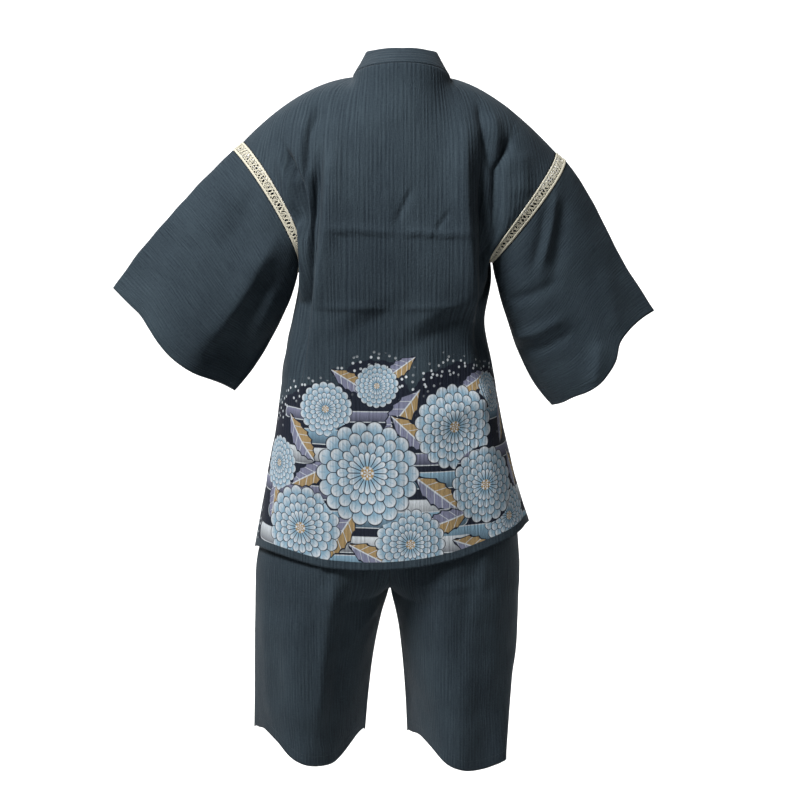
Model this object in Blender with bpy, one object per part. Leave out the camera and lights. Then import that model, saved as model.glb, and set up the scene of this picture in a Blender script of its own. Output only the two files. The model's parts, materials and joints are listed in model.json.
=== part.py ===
"""A men's jinbei set in the hollow form it keeps when worn: a wrap jacket with lace at the armholes, and shorts.

Metres, +Z up. +X is the wearer's left, -Y the wearer's front, and the origin lies between the neck's sides
at the height of the shoulder line, where the wearer carries the jacket.
"""

import math
from collections import namedtuple

import bpy
from mathutils import Vector

# Cloth and seams
CLOTH = 0.0016
HEM_CLOTH = 0.0026
BAND_CLOTH = 0.0024
SEAM_GAP = 0.0004

# The stance: the body's middle drifts to the wearer's left as it goes down
LEAN = 0.024

# Half the back's cut width is 1 across, and this share of it is the neckline
NECK_SHARE = 0.25
NECK_BACK = (0.075, 0.017)
ARMPIT_ROW_DROP = 0.325

# One row for each arm. Places are (x, z). edge_lift raises the control point above the armpit.
Arm = namedtuple(
    "Arm", "name sign neck ridge shoulder armpit shoulder_pull armpit_pull edge_lift cuff_top cuff_bottom"
)
LEFT = Arm(
    "left", 1, (0.0706, 0.0), (0.1486, -0.0266), (0.2307, -0.0918), (0.152, -0.280),
    0.038, 0.045, 0.020, (0.4272, -0.3040), (0.2503, -0.4587),
)
RIGHT = Arm(
    "right", -1, (-0.0689, -0.0013), (-0.1398, -0.0337), (-0.2232, -0.1070), (-0.131, -0.262),
    0.006, 0.040, -0.018, (-0.3750, -0.3367), (-0.2252, -0.4801),
)

# The jacket's section at each drop below the neck: its sides, and its depth to the back and the front
Section = namedtuple("Section", "drop left right back front square")
TORSO = [
    Section(0.240, 0.150, -0.1310, 0.114, 0.112, 3.2),
    Section(0.300, 0.153, -0.1290, 0.112, 0.118, 3.2),
    Section(0.350, 0.163, -0.1215, 0.109, 0.120, 3.1),
    Section(0.410, 0.175, -0.1330, 0.108, 0.121, 3.0),
    Section(0.470, 0.183, -0.1440, 0.113, 0.125, 2.8),
    Section(0.550, 0.196, -0.1610, 0.124, 0.134, 2.6),
    Section(0.630, 0.212, -0.1835, 0.136, 0.140, 2.5),
    Section(0.710, 0.227, -0.2080, 0.146, 0.144, 2.4),
]

# The hem's drop across the back, from the right side seam to the left
HemPoint = namedtuple("HemPoint", "across drop")
HEM = [
    HemPoint(-1.00, 0.6575), HemPoint(-0.80, 0.6515), HemPoint(-0.65, 0.6560), HemPoint(-0.50, 0.6640),
    HemPoint(-0.25, 0.6820), HemPoint(0.00, 0.6930), HemPoint(0.25, 0.6935), HemPoint(0.50, 0.6830),
    HemPoint(0.65, 0.6815), HemPoint(0.80, 0.6860), HemPoint(1.00, 0.6980),
]

# How the cloth falls from the shoulder line to the armpits, across the back and across each front
Fall = namedtuple("Fall", "across near_y near_dip pull far_y far_lift")
BACK_FALL = [
    Fall(0.00, 0.100, 0.077, 0.000, 0.119, 0.100),
    Fall(0.12, 0.103, 0.062, 0.000, 0.119, 0.102),
    Fall(0.25, 0.114, 0.030, 0.000, 0.119, 0.105),
    Fall(0.50, 0.106, 0.010, 0.000, 0.123, 0.110),
    Fall(0.75, 0.094, 0.012, 0.450, 0.120, 0.070),
    Fall(1.00, 0.085, 0.026, 1.000, 0.115, 0.000),
]
FRONT_FALL = [
    Fall(0.00, 0.060, 0.030, -0.70, 0.114, 0.110),
    Fall(0.50, 0.075, 0.008, -0.10, 0.118, 0.110),
    Fall(1.00, 0.075, 0.022, 0.90, 0.100, 0.000),
]

# The free front edge: how far past the body's middle it reaches at each drop
Edge = namedtuple("Edge", "drop past")
WRAP = [Edge(0.300, 0.040), Edge(0.380, 0.056), Edge(0.450, 0.064), Edge(0.700, 0.068)]
UNDER_WRAP = 0.0120
UNDER_WRAP_BLEND = 0.045
VENT_HEIGHT = 0.105
VENT_GAP = 0.010

# The neckband stands off its seam by this much round the neck, from its middle (0) towards the fronts,
# and further down it carries on the way the front lies
Band = namedtuple("Band", "along inward back rise")
COLLAR = [
    Band(0.00, 0.000, -0.032, 0.021), Band(0.08, 0.011, -0.027, 0.024), Band(0.17, 0.019, -0.002, 0.030),
    Band(0.25, 0.031, -0.003, 0.020), Band(0.40, 0.036, -0.006, 0.012), Band(1.00, 0.038, -0.004, 0.010),
]
BAND_WIDTH = 0.040
BAND_PAST = 0.095

# The lace between the body and each sleeve
LACE_TOP = 0.0185
LACE_UNDER = 0.0080
LACE_PITCH = 0.012
LACE_TAPE = 0.22
LACE_BAR = 0.16

# Each cuff's edge from its top crease (0) to its lower crease (1): how far it bellies out to the back and the
# front, and how far it swings away from the straight line between the creases
Cuff = namedtuple("Cuff", "along deep left_out right_out")
CUFF = [
    Cuff(0.00, 0.000, 0.000, 0.000), Cuff(0.08, 0.010, -0.0005, -0.005), Cuff(0.16, 0.022, -0.0015, -0.009),
    Cuff(0.25, 0.034, -0.0025, -0.011), Cuff(0.35, 0.047, 0.0015, -0.009), Cuff(0.45, 0.057, 0.007, 0.004),
    Cuff(0.55, 0.063, 0.010, 0.010), Cuff(0.65, 0.064, 0.0095, 0.012), Cuff(0.75, 0.056, 0.007, 0.010),
    Cuff(0.85, 0.040, 0.0025, 0.0045), Cuff(0.93, 0.022, -0.0005, 0.003), Cuff(1.00, 0.000, 0.000, 0.000),
]
FRONT_SWING = 0.2
SLEEVE_BULGE = 0.012
SLEEVE_HANG = 0.34
SLEEVE_CROWN = 0.0080

# The shorts' section at each drop: outer sides, depth to the back and front, inner sides, where each lobe's middle
# lies from inner (0) to outer (1), how much of the depth is left at the inner side, how sharp the creases are,
# and how far back the right leg's side crease turns
Leg = namedtuple("Leg", "drop left right back front inner_left inner_right lobe inside crease crease_right turned")
CROTCH_DROP = 0.757
SHORTS = [
    Leg(0.463, 0.1480, -0.1270, 0.092, 0.096, 0.0180, 0.0180, 0.15, 1.00, 1.00, 1.00, 0.000),
    Leg(0.520, 0.1700, -0.1420, 0.106, 0.104, 0.0180, 0.0180, 0.21, 1.00, 1.00, 1.00, 0.000),
    Leg(0.600, 0.1960, -0.1630, 0.121, 0.110, 0.0180, 0.0180, 0.31, 0.99, 1.00, 1.00, 0.000),
    Leg(0.660, 0.2100, -0.1750, 0.126, 0.112, 0.0180, 0.0180, 0.38, 0.95, 1.00, 1.00, 0.000),
    Leg(0.700, 0.2180, -0.1785, 0.127, 0.112, 0.0180, 0.0180, 0.42, 0.86, 1.01, 1.01, 0.001),
    Leg(0.720, 0.2215, -0.1800, 0.1265, 0.112, 0.0180, 0.0180, 0.44, 0.76, 1.02, 1.02, 0.001),
    Leg(0.735, 0.2230, -0.1800, 0.126, 0.112, 0.0180, 0.0180, 0.45, 0.64, 1.03, 1.03, 0.002),
    Leg(0.745, 0.2240, -0.1800, 0.126, 0.112, 0.0180, 0.0180, 0.46, 0.50, 1.04, 1.03, 0.003),
    Leg(0.752, 0.2245, -0.1800, 0.1255, 0.112, 0.0180, 0.0180, 0.465, 0.33, 1.05, 1.04, 0.004),
    Leg(0.757, 0.2250, -0.1795, 0.125, 0.112, 0.0180, 0.0180, 0.47, 0.00, 1.06, 1.04, 0.005),
    Leg(0.800, 0.2265, -0.1775, 0.123, 0.112, 0.0300, 0.0090, 0.49, 0.00, 1.16, 1.08, 0.013),
    Leg(0.867, 0.2285, -0.1710, 0.121, 0.113, 0.0435, 0.0005, 0.50, 0.00, 1.42, 1.13, 0.030),
    Leg(0.935, 0.2300, -0.1645, 0.121, 0.115, 0.0520, -0.0050, 0.50, 0.00, 1.80, 1.18, 0.053),
    Leg(0.998, 0.2320, -0.1585, 0.121, 0.117, 0.0575, -0.0080, 0.50, 0.00, 2.20, 1.20, 0.078),
]
SHORTS_TOP = 0.4654
LEG_HEM = 0.998
LEG_DROPS = [
    0.4654, 0.510, 0.555, 0.600, 0.640, 0.675, 0.700, 0.720, 0.735, 0.746, 0.753, 0.757, 0.772, 0.800, 0.840,
    0.880, 0.920, 0.960, 0.998,
]

# The drop of each leg's hem behind, from the inseam (0) to the side (1)
LegHem = namedtuple("LegHem", "across left right")
LEG_HEMS = [
    LegHem(0.00, 0.9980, 1.0000), LegHem(0.14, 0.9935, 0.9936), LegHem(0.23, 0.9990, 0.9855),
    LegHem(0.33, 1.0110, 0.9900), LegHem(0.42, 1.0073, 1.0020), LegHem(0.50, 1.0020, 1.0085),
    LegHem(0.58, 0.9940, 1.0140), LegHem(0.67, 0.9785, 1.0155), LegHem(0.77, 0.9755, 1.0120),
    LegHem(0.86, 0.9857, 1.0090), LegHem(1.00, 0.9930, 1.0100),
]
WAISTBAND_TOP = 0.430
WAISTBAND_SIDE = (0.1450, -0.1240)
WAISTBAND_DEPTH = (0.089, 0.095)

# The outer tie: a plain bow over the wrap's edge, on the wearer's right
TIE_PLACE = (-0.085, 0.455)
TIE_CLOTH = 0.0018
TIE_STAND_OFF = 0.0006
KNOT_SIZE = (0.0076, 0.0090, 0.0060)
Loop = namedtuple("Loop", "along half sink")
LOOP = [
    Loop(0.00, 0.0050, 0.000), Loop(0.35, 0.0100, 0.001), Loop(0.70, 0.0115, 0.004), Loop(0.92, 0.0085, 0.007),
    Loop(1.00, 0.0040, 0.008),
]
LOOP_STARTS = (0.0080, 0.0066)
LOOP_LENGTHS = (0.036, 0.030)
TAIL_HALF = 0.0062
TAIL_LENGTHS = (0.082, 0.094)

# The largest folds, in the plane seen from behind: a line from (x0, z0) to (x1, z1), how wide and how deep
Fold = namedtuple("Fold", "x0 z0 x1 z1 wide deep")
BACK_FOLDS = [
    Fold(0.122, -0.050, 0.136, -0.190, 0.026, 0.007),
    Fold(-0.128, -0.090, -0.120, -0.190, 0.026, 0.006),
    Fold(-0.090, -0.090, -0.098, -0.330, 0.026, -0.005),
    Fold(0.060, -0.520, 0.080, -0.690, 0.032, 0.006),
    Fold(-0.080, -0.500, -0.110, -0.660, 0.032, 0.007),
]
SLEEVE_FOLDS = [
    Fold(0.225, -0.200, 0.270, -0.420, 0.034, 0.007),
    Fold(0.310, -0.210, 0.350, -0.370, 0.034, -0.004),
    Fold(-0.205, -0.200, -0.262, -0.390, 0.034, 0.006),
    Fold(-0.280, -0.240, -0.310, -0.400, 0.034, -0.004),
]
LEG_FOLDS = [
    Fold(0.118, -0.790, 0.105, -0.960, 0.034, 0.005),
    Fold(0.170, -0.790, 0.160, -0.930, 0.034, -0.004),
    Fold(-0.115, -0.790, -0.120, -0.930, 0.032, 0.004),
]

# How finely each piece is divided
BACK_COLUMNS, YOKE_ROWS, SKIRT_ROWS = 30, 12, 13
FRONT_COLUMNS = 11
SLEEVE_ROWS = 9
LEG_COLUMNS = 12
BAND_ROWS = 6
WAIST_STEPS = 32
FINE = 120

INDIGO = (0.050, 0.062, 0.078, 1.0)
CREAM = (0.80, 0.74, 0.60, 1.0)


def clear_scene():
    for old in list(bpy.data.objects):
        bpy.data.objects.remove(old, do_unlink=True)


def cloth_material(name, colour):
    material = bpy.data.materials.new(name)
    material.use_nodes = True
    shader = material.node_tree.nodes["Principled BSDF"]
    shader.inputs["Base Color"].default_value = colour
    shader.inputs["Roughness"].default_value = 0.9
    shader.inputs["Metallic"].default_value = 0.0
    return material


def mix(a, b, share):
    return a + (b - a) * share


def ease(share):
    share = min(max(share, 0.0), 1.0)
    return share * share * (3.0 - 2.0 * share)


def read(table, at, column):
    """A column of a table at a place in its first column, on a curve that bends smoothly through the rows."""
    keys = [row[0] for row in table]
    values = [getattr(row, column) for row in table]
    if at <= keys[0]:
        return values[0]
    if at >= keys[-1]:
        return values[-1]
    i = max(k for k in range(len(keys) - 1) if keys[k] <= at)
    slopes = [(values[k + 1] - values[k]) / (keys[k + 1] - keys[k]) for k in range(len(keys) - 1)]
    before = slopes[max(i - 1, 0)]
    after = slopes[min(i + 1, len(slopes) - 1)]
    start, end = (before + slopes[i]) / 2, (slopes[i] + after) / 2
    span = keys[i + 1] - keys[i]
    t = (at - keys[i]) / span
    return (
        values[i] * (1 + 2 * t) * (1 - t) ** 2
        + start * span * t * (1 - t) ** 2
        + values[i + 1] * t * t * (3 - 2 * t)
        + end * span * t * t * (t - 1)
    )


def bezier(p0, p1, p2, p3, t):
    s = 1.0 - t
    return p0 * s**3 + p1 * (3 * s * s * t) + p2 * (3 * s * t * t) + p3 * t**3


def evenly(points, count):
    """The same line with count + 1 points, evenly spaced along it."""
    lengths = [0.0]
    for a, b in zip(points, points[1:]):
        lengths.append(lengths[-1] + (b - a).length)
    spaced, i = [], 0
    for k in range(count + 1):
        at = lengths[-1] * k / count
        while i < len(points) - 2 and lengths[i + 1] < at:
            i += 1
        span = lengths[i + 1] - lengths[i]
        spaced.append(points[i].lerp(points[i + 1], (at - lengths[i]) / span if span else 0.0))
    return spaced


def fold_depth(folds, x, z):
    """How far the folds press the cloth in at this place."""
    total = 0.0
    for fold in folds:
        ax, az = fold.x1 - fold.x0, fold.z1 - fold.z0
        along = ((x - fold.x0) * ax + (z - fold.z0) * az) / (ax * ax + az * az)
        if not -0.25 < along < 1.25:
            continue
        held = min(max(along, 0.0), 1.0)
        away = math.hypot(x - fold.x0 - held * ax, z - fold.z0 - held * az)
        total += fold.deep * math.exp(-((away / fold.wide) ** 2)) * ease(min(along + 0.25, 1.25 - along) * 3)
    return total


def grid_normals(rows):
    """The direction square to the cloth at each point of a grid, by its neighbours."""
    last_row, last_column = len(rows) - 1, len(rows[0]) - 1
    normals = []
    for i, row in enumerate(rows):
        line = []
        for j in range(len(row)):
            down = rows[min(i + 1, last_row)][j] - rows[max(i - 1, 0)][j]
            across = row[min(j + 1, last_column)] - row[max(j - 1, 0)]
            line.append(across.cross(down).normalized())
        normals.append(line)
    return normals


def pressed(rows, folds, side, ring=False):
    """The grid with the folds pressed in, on the side that faces back (1) or front (-1). Seams stay in place."""
    normals = grid_normals(rows)
    last = len(rows[0]) - 1
    moved = []
    for i, (row, line) in enumerate(zip(rows, normals)):
        new_row = []
        for j, (point, normal) in enumerate(zip(row, line)):
            free = ease(i / 3) * (1.0 if ring else ease(min(j, last - j) / 3))
            push = fold_depth(folds, point.x, point.z) * free * ease(normal.y * side * 2.5)
            new_row.append(point - normal * push)
        moved.append(new_row)
    return moved


def wall(name, rows, material, thick, inward=None, ring=False):
    """A cloth wall with this outer face. thick gives a row's thickness, and inward the way in at a seam's edge.

    The grid runs down in rows and across in columns, with the outer face to the left of that turn.
    """
    normals = grid_normals(rows)
    if ring:
        for i, row in enumerate(rows):
            down = rows[min(i + 1, len(rows) - 1)][0] - rows[max(i - 1, 0)][0]
            normals[i][0] = normals[i][-1] = (row[1] - row[-2]).cross(down).normalized()
    points, inner = [], []
    for i, row in enumerate(rows):
        for j, point in enumerate(row[:-1] if ring else row):
            way = inward(i, j, point, -normals[i][j]) if inward else -normals[i][j]
            points.append(point)
            inner.append(point + way * thick(i, point))
    width = len(rows[0]) - (1 if ring else 0)
    count, height = len(points), len(rows)
    faces = []
    for i in range(height - 1):
        for j in range(width if ring else width - 1):
            a, b = i * width + j, i * width + (j + 1) % width
            c, d = b + width, a + width
            # Both faces of the cloth are split along the same, shorter diagonal.
            if (points[a] - points[c]).length < (points[b] - points[d]).length:
                halves = [(a, b, c), (a, c, d)]
            else:
                halves = [(a, b, d), (b, c, d)]
            faces += halves + [tuple(count + v for v in reversed(half)) for half in halves]
    for j in range(width if ring else width - 1):
        top_a, top_b = j, (j + 1) % width
        low_a, low_b = (height - 1) * width + j, (height - 1) * width + (j + 1) % width
        faces += [(top_b, top_a, count + top_a, count + top_b), (low_a, low_b, count + low_b, count + low_a)]
    if not ring:
        for i in range(height - 1):
            first, last = i * width, i * width + width - 1
            faces += [
                (first, first + width, count + first + width, count + first),
                (last + width, last, count + last, count + last + width),
            ]
    return solid(name, points + inner, faces, material)


def solid(name, points, faces, material, angle=60.0):
    mesh = bpy.data.meshes.new(name)
    mesh.from_pydata([tuple(p) for p in points], [], faces)
    mesh.materials.append(material)
    mesh.validate()
    mesh.shade_smooth()
    mesh.set_sharp_from_angle(angle=math.radians(angle))
    placed = bpy.data.objects.new(name, mesh)
    bpy.context.scene.collection.objects.link(placed)
    return placed


# The jacket's body


def middle(drop):
    return LEAN * drop


def ridge(arm, share):
    """The shoulder line from the neck's side (0) to the sleeve's top (1)."""
    near, mid, far = (share - 0.5) * (share - 1) * 2, share * (1 - share) * 4, share * (share - 0.5) * 2
    x = arm.neck[0] * near + arm.ridge[0] * mid + arm.shoulder[0] * far
    z = arm.neck[1] * near + arm.ridge[1] * mid + arm.shoulder[1] * far
    return Vector((x, 0.0, z))


def neckline(arm, share):
    """The back of the neck, from its middle (0) to the neck's side (1)."""
    turn = share * math.pi / 2
    return Vector((
        arm.neck[0] * math.sin(turn),
        NECK_BACK[0] * math.cos(turn),
        mix(arm.neck[1], NECK_BACK[1], math.cos(turn)),
    ))


def armpit_point(arm):
    return Vector((arm.armpit[0], 0.0, arm.armpit[1]))


def armpit_drop(arm, across):
    return mix(ARMPIT_ROW_DROP, -arm.armpit[1], across**6)


def side_arm(across):
    return LEFT if across > 0 else RIGHT


def torso_back(across, drop):
    """The jacket's section behind: across runs from the right side seam (-1) to the left (1)."""
    turn = across * math.pi / 2
    s, c = abs(math.sin(turn)), abs(math.cos(turn))
    square = read(TORSO, drop, "square")
    reach = (s**square + c**square) ** (-1 / square)
    side = read(TORSO, drop, side_arm(across).name)
    x = middle(drop) + (side - middle(drop)) * reach * s
    return Vector((x, read(TORSO, drop, "back") * reach * c, -drop))


def back_yoke(across, fall):
    """The back above the armpits: fall runs from the shoulder line (0) to the armpits' row (1)."""
    arm, far = side_arm(across), abs(across)
    if far < NECK_SHARE:
        top = neckline(arm, far / NECK_SHARE)
    else:
        top = ridge(arm, (far - NECK_SHARE) / (1 - NECK_SHARE))
    low = armpit_point(arm) if far >= 1 else torso_back(across, armpit_drop(arm, far))
    near_x = top.x - arm.sign * arm.shoulder_pull * far**4
    near = Vector((near_x, read(BACK_FALL, far, "near_y"), top.z - read(BACK_FALL, far, "near_dip")))
    pull = arm.sign * arm.armpit_pull * read(BACK_FALL, far, "pull")
    lift = read(BACK_FALL, far, "far_lift") + arm.edge_lift * far**4
    away = Vector((low.x - pull, read(BACK_FALL, far, "far_y"), low.z + lift))
    return bezier(top, near, away, low, fall)


def vent(across, drop, hem):
    """How far a vent at the side seam has opened here."""
    return (VENT_GAP / 2) * ease((drop - hem + VENT_HEIGHT) / VENT_HEIGHT) * ease(across * 4 - 3)


def back_skirt(across, fall):
    """The back below the armpits: fall runs from the armpits' row (0) to the hem (1)."""
    hem = read(HEM, across, "drop")
    drop = mix(armpit_drop(side_arm(across), abs(across)), hem, fall)
    return torso_back(across, drop) + Vector((0.0, vent(abs(across), drop, hem), 0.0))


def back_line(surface, fall, columns):
    """A row of the back, with a third of its columns under each shoulder and a third under the neck."""
    line = []
    for start, end in ((-1.0, -NECK_SHARE), (-NECK_SHARE, NECK_SHARE), (NECK_SHARE, 1.0)):
        fine = [surface(mix(start, end, k / FINE), fall) for k in range(FINE + 1)]
        line += evenly(fine, columns // 3)[1 if line else 0:]
    return line


def back_rows(columns, yoke_rows, skirt_rows):
    lines = [back_line(back_yoke, i / yoke_rows, columns) for i in range(yoke_rows)]
    return lines + [back_line(back_skirt, i / skirt_rows, columns) for i in range(skirt_rows + 1)]


def wrap_edge(arm, drop):
    """The free front edge below the chest, past the middle on the other side."""
    return middle(drop) - arm.sign * read(WRAP, drop, "past")


def under_wrap(arm, x, side):
    """How far the right front lies behind the left one that covers it."""
    return 0.0 if arm.sign > 0 else UNDER_WRAP * ease(abs(x - side) / UNDER_WRAP_BLEND)


def torso_front(arm, across, drop):
    """A front's section: across runs from its free edge (0) to its side seam (1)."""
    side = read(TORSO, drop, arm.name)
    x = mix(wrap_edge(arm, drop), side, 1 - (1 - across) ** 2)
    square = read(TORSO, drop, "square")
    other = read(TORSO, drop, "left" if x > middle(drop) else "right")
    share = min(abs((x - middle(drop)) / (other - middle(drop))), 1.0)
    depth = read(TORSO, drop, "front") - under_wrap(arm, x, side)
    return Vector((x, -depth * (1 - share**square) ** (1 / square), -drop))


def front_yoke(arm, across, fall):
    """A front above the armpits: across runs from the neckband's seam (0) to the armhole (1)."""
    top = ridge(arm, across)
    drop = armpit_drop(arm, across)
    low = armpit_point(arm) if across >= 1 else torso_front(arm, across, drop)
    near_x = top.x - arm.sign * (arm.shoulder_pull * across**4 + 0.005 * (1 - across))
    under = under_wrap(arm, low.x, read(TORSO, drop, arm.name))
    near = Vector((near_x, under - read(FRONT_FALL, across, "near_y"), top.z - read(FRONT_FALL, across, "near_dip")))
    pull = arm.sign * arm.armpit_pull * read(FRONT_FALL, across, "pull")
    lift = read(FRONT_FALL, across, "far_lift") + arm.edge_lift * across**4
    away = Vector((low.x - pull, under - read(FRONT_FALL, across, "far_y"), low.z + lift))
    return bezier(top, near, away, low, fall)


def front_skirt(arm, across, fall):
    hem = read(HEM, arm.sign * across**2, "drop")
    drop = mix(armpit_drop(arm, across), hem, fall)
    return torso_front(arm, across, drop) - Vector((0.0, vent(across, drop, hem), 0.0))


def front_rows(arm, columns, yoke_rows, skirt_rows):
    def line(surface, fall):
        return evenly([surface(arm, k / FINE, fall) for k in range(FINE + 1)], columns)

    rows = [line(front_yoke, i / yoke_rows) for i in range(yoke_rows)]
    rows += [line(front_skirt, i / skirt_rows) for i in range(skirt_rows + 1)]
    # Seen from outside, the left front's columns run from its side seam to its free edge.
    return rows if arm.sign < 0 else [row[::-1] for row in rows]


# Seams: both walls that meet at one turn their edges the same way, so neither crosses the other


def in_seam_plane(way):
    """A way with nothing to the back or front, for a seam that lies between the back and the fronts."""
    level = Vector((way.x, 0.0, way.z))
    return level / max(level.length, 0.5)


def neck_inward(point):
    """The way in at the neckline and the free front edges."""
    depth = -point.z
    return Vector((0.25 * (middle(depth) - point.x), -point.y, -0.06 * (1 - ease(depth / 0.15)))).normalized()


def edge_point(arm, side, fall):
    """The armhole's edge on the body, from the shoulder (0) to the armpit (1), behind (1) or in front (-1)."""
    return back_yoke(arm.sign, fall) if side > 0 else front_yoke(arm, 1.0, fall)


def edge_run(arm, side, fall):
    """The way the armhole's edge runs here."""
    return edge_point(arm, side, min(fall + 0.02, 1.0)) - edge_point(arm, side, max(fall - 0.02, 0.0))


def lace_way(arm, side, fall):
    """The way the lace runs off the body's edge."""
    top = Vector((arm.sign * 0.787, 0.0, -0.616))
    half = Vector((arm.sign * 0.76, -side * 0.42, -0.46))
    under = Vector((arm.sign * 1.00, 0.0, 0.02))
    way = top.lerp(half, ease(fall * 2)) if fall < 0.5 else half.lerp(under, ease(fall * 2 - 1))
    return way.normalized()


def lace_width(fall):
    return mix(LACE_TOP, LACE_UNDER, ease(fall * 1.6 - 0.6))


def arm_axis(arm, share):
    """The arm's middle line, from the armhole (0) to the cuff (1)."""
    hole = (Vector((arm.shoulder[0], 0.0, arm.shoulder[1])) + armpit_point(arm)) / 2
    cuff = Vector((arm.cuff_top[0] + arm.cuff_bottom[0], 0.0, arm.cuff_top[1] + arm.cuff_bottom[1])) / 2
    return hole.lerp(cuff, share)


def facing(run, across, hint):
    """The direction square to both, on the hint's side."""
    square = run.cross(across).normalized()
    return square if square.dot(hint) > 0 else -square


def lace_face(arm, side, fall):
    return facing(edge_run(arm, side, fall), lace_way(arm, side, fall), edge_point(arm, side, fall) - arm_axis(arm, 0))


def body_face(arm, side, fall):
    inner = back_yoke(arm.sign * 0.96, fall) if side > 0 else front_yoke(arm, 0.96, fall)
    hint = Vector((arm.sign * (0.3 + fall), side * (1 - fall), 0.3 * (1 - fall)))
    return facing(edge_run(arm, side, fall), edge_point(arm, side, fall) - inner, hint)


def sleeve_face(arm, side, fall):
    line = sleeve_line(arm, side, fall, 12)
    return facing(edge_run(arm, side, fall), line[1] - line[0], line[0] - arm_axis(arm, 0))


def mitre(face_a, face_b, fall):
    way = -(face_a + face_b).normalized()
    flat = Vector((way.x, 0.0, way.z)).normalized()
    at_end = max(ease(1 - fall * 12), ease(1 - (1 - fall) * 12))
    return way.lerp(flat, at_end).normalized()


def hole_inward(arm, side, fall):
    """The way in where the body meets the lace."""
    return mitre(body_face(arm, side, fall), lace_face(arm, side, fall), fall)


def cuffward_inward(arm, side, fall):
    """The way in where the lace meets the sleeve."""
    return mitre(lace_face(arm, side, fall), sleeve_face(arm, side, fall), fall)


def seam_clear(rows):
    """The grid with its first and last columns drawn in by half a seam's gap."""
    for row in rows:
        first, last = (row[1] - row[0]).normalized(), (row[-2] - row[-1]).normalized()
        row[0] = row[0] + first * SEAM_GAP / 2
        row[-1] = row[-1] + last * SEAM_GAP / 2
    return rows


def make_back(material):
    rows = back_rows(BACK_COLUMNS, YOKE_ROWS, SKIRT_ROWS)
    rows = seam_clear(pressed(rows, BACK_FOLDS, 1))
    last = len(rows) - 1

    def inward(i, j, point, own):
        if j in (0, BACK_COLUMNS):
            arm = LEFT if j else RIGHT
            return hole_inward(arm, 1, i / YOKE_ROWS) if i < YOKE_ROWS else in_seam_plane(own)
        if i == 0:
            at_neck = abs(j - BACK_COLUMNS // 2) <= BACK_COLUMNS // 6
            return neck_inward(point) if at_neck else in_seam_plane(own)
        return own

    def thick(i, point):
        return HEM_CLOTH if i == last else CLOTH

    return wall("jacket_back", rows, material, thick, inward)


def make_front(arm, material):
    rows = seam_clear(front_rows(arm, FRONT_COLUMNS, YOKE_ROWS, SKIRT_ROWS))
    rows[0] = [point + Vector((0.0, -SEAM_GAP, 0.0)) for point in rows[0]]
    last = len(rows) - 1
    seam_column = 0 if arm.sign > 0 else FRONT_COLUMNS

    def inward(i, j, point, own):
        if j == seam_column:
            return hole_inward(arm, -1, i / YOKE_ROWS) if i < YOKE_ROWS else in_seam_plane(own)
        if j == FRONT_COLUMNS - seam_column:
            return neck_inward(point)
        return in_seam_plane(own) if i == 0 else own

    def thick(i, point):
        return HEM_CLOTH if i == last else CLOTH

    return wall(f"jacket_front_{arm.name}", rows, material, thick, inward)


# The armholes' lace and the sleeves


def make_lace(arm, side, material):
    """Half of an armhole's lace: two tapes joined by crossed bars, with a diamond gap in each repeat.

    Its edges run straight between the corners of the walls on either side.
    """
    falls = [k / YOKE_ROWS for k in range(YOKE_ROWS + 1)]
    near = [edge_point(arm, side, fall) for fall in falls]
    far = [point + lace_way(arm, side, fall) * (lace_width(fall) + SEAM_GAP) for point, fall in zip(near, falls)]
    near_in = [hole_inward(arm, side, fall) * CLOTH for fall in falls]
    far_in = [cuffward_inward(arm, side, fall) * CLOTH for fall in falls]
    reached = [0.0]
    for a, b in zip(near, near[1:]):
        reached.append(reached[-1] + (b - a).length)
    cells = round(reached[-1] / LACE_PITCH)
    points, inner = [], []

    def place(along, across):
        at = mix(SEAM_GAP, reached[-1] - SEAM_GAP, along / cells)
        k = max(i for i in range(YOKE_ROWS) if reached[i] <= at)
        share = (at - reached[k]) / (reached[k + 1] - reached[k])
        start, end = near[k].lerp(near[k + 1], share), far[k].lerp(far[k + 1], share)
        gap = SEAM_GAP / (end - start).length
        held = mix(gap, 1 - gap, across)
        points.append(start.lerp(end, held))
        inner.append(points[-1] + near_in[k].lerp(near_in[k + 1], share).lerp(far_in[k].lerp(far_in[k + 1], share), held))
        return len(points) - 1

    columns = [(place(k, 0.0), place(k, 1.0)) for k in range(cells + 1)]
    faces, rim = [], []
    for k in range(cells):
        (a, d), (b, c) = columns[k], columns[k + 1]
        west, east = place(k + LACE_BAR, 0.5), place(k + 1 - LACE_BAR, 0.5)
        south, north = place(k + 0.5, LACE_TAPE), place(k + 0.5, 1 - LACE_TAPE)
        faces += [(a, b, south), (b, east, south), (b, c, east), (c, north, east)]
        faces += [(c, d, north), (d, west, north), (d, a, west), (a, south, west)]
        rim += [(a, b), (c, d), (east, south), (north, east), (west, north), (south, west)]
    rim += [columns[-1], columns[0][::-1]]
    count = len(points)
    faces += [tuple(count + v for v in reversed(face)) for face in faces]
    faces += [(b, a, count + a, count + b) for a, b in rim]
    if arm.sign * side > 0:
        faces = [tuple(reversed(face)) for face in faces]
    return solid(f"lace_{arm.name}_{'back' if side > 0 else 'front'}", points + inner, faces, material)


def cuff_point(arm, side, along):
    """The cuff's edge from its top crease (0) to its lower crease (1)."""
    top = Vector((arm.cuff_top[0], 0.0, arm.cuff_top[1]))
    low = Vector((arm.cuff_bottom[0], 0.0, arm.cuff_bottom[1]))
    swing = read(CUFF, along, f"{arm.name}_out") * (1.0 if side > 0 else FRONT_SWING)
    return top.lerp(low, along) + Vector((0.0, side * read(CUFF, along, "deep"), 0.0)) + off_cuff(arm) * swing


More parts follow.
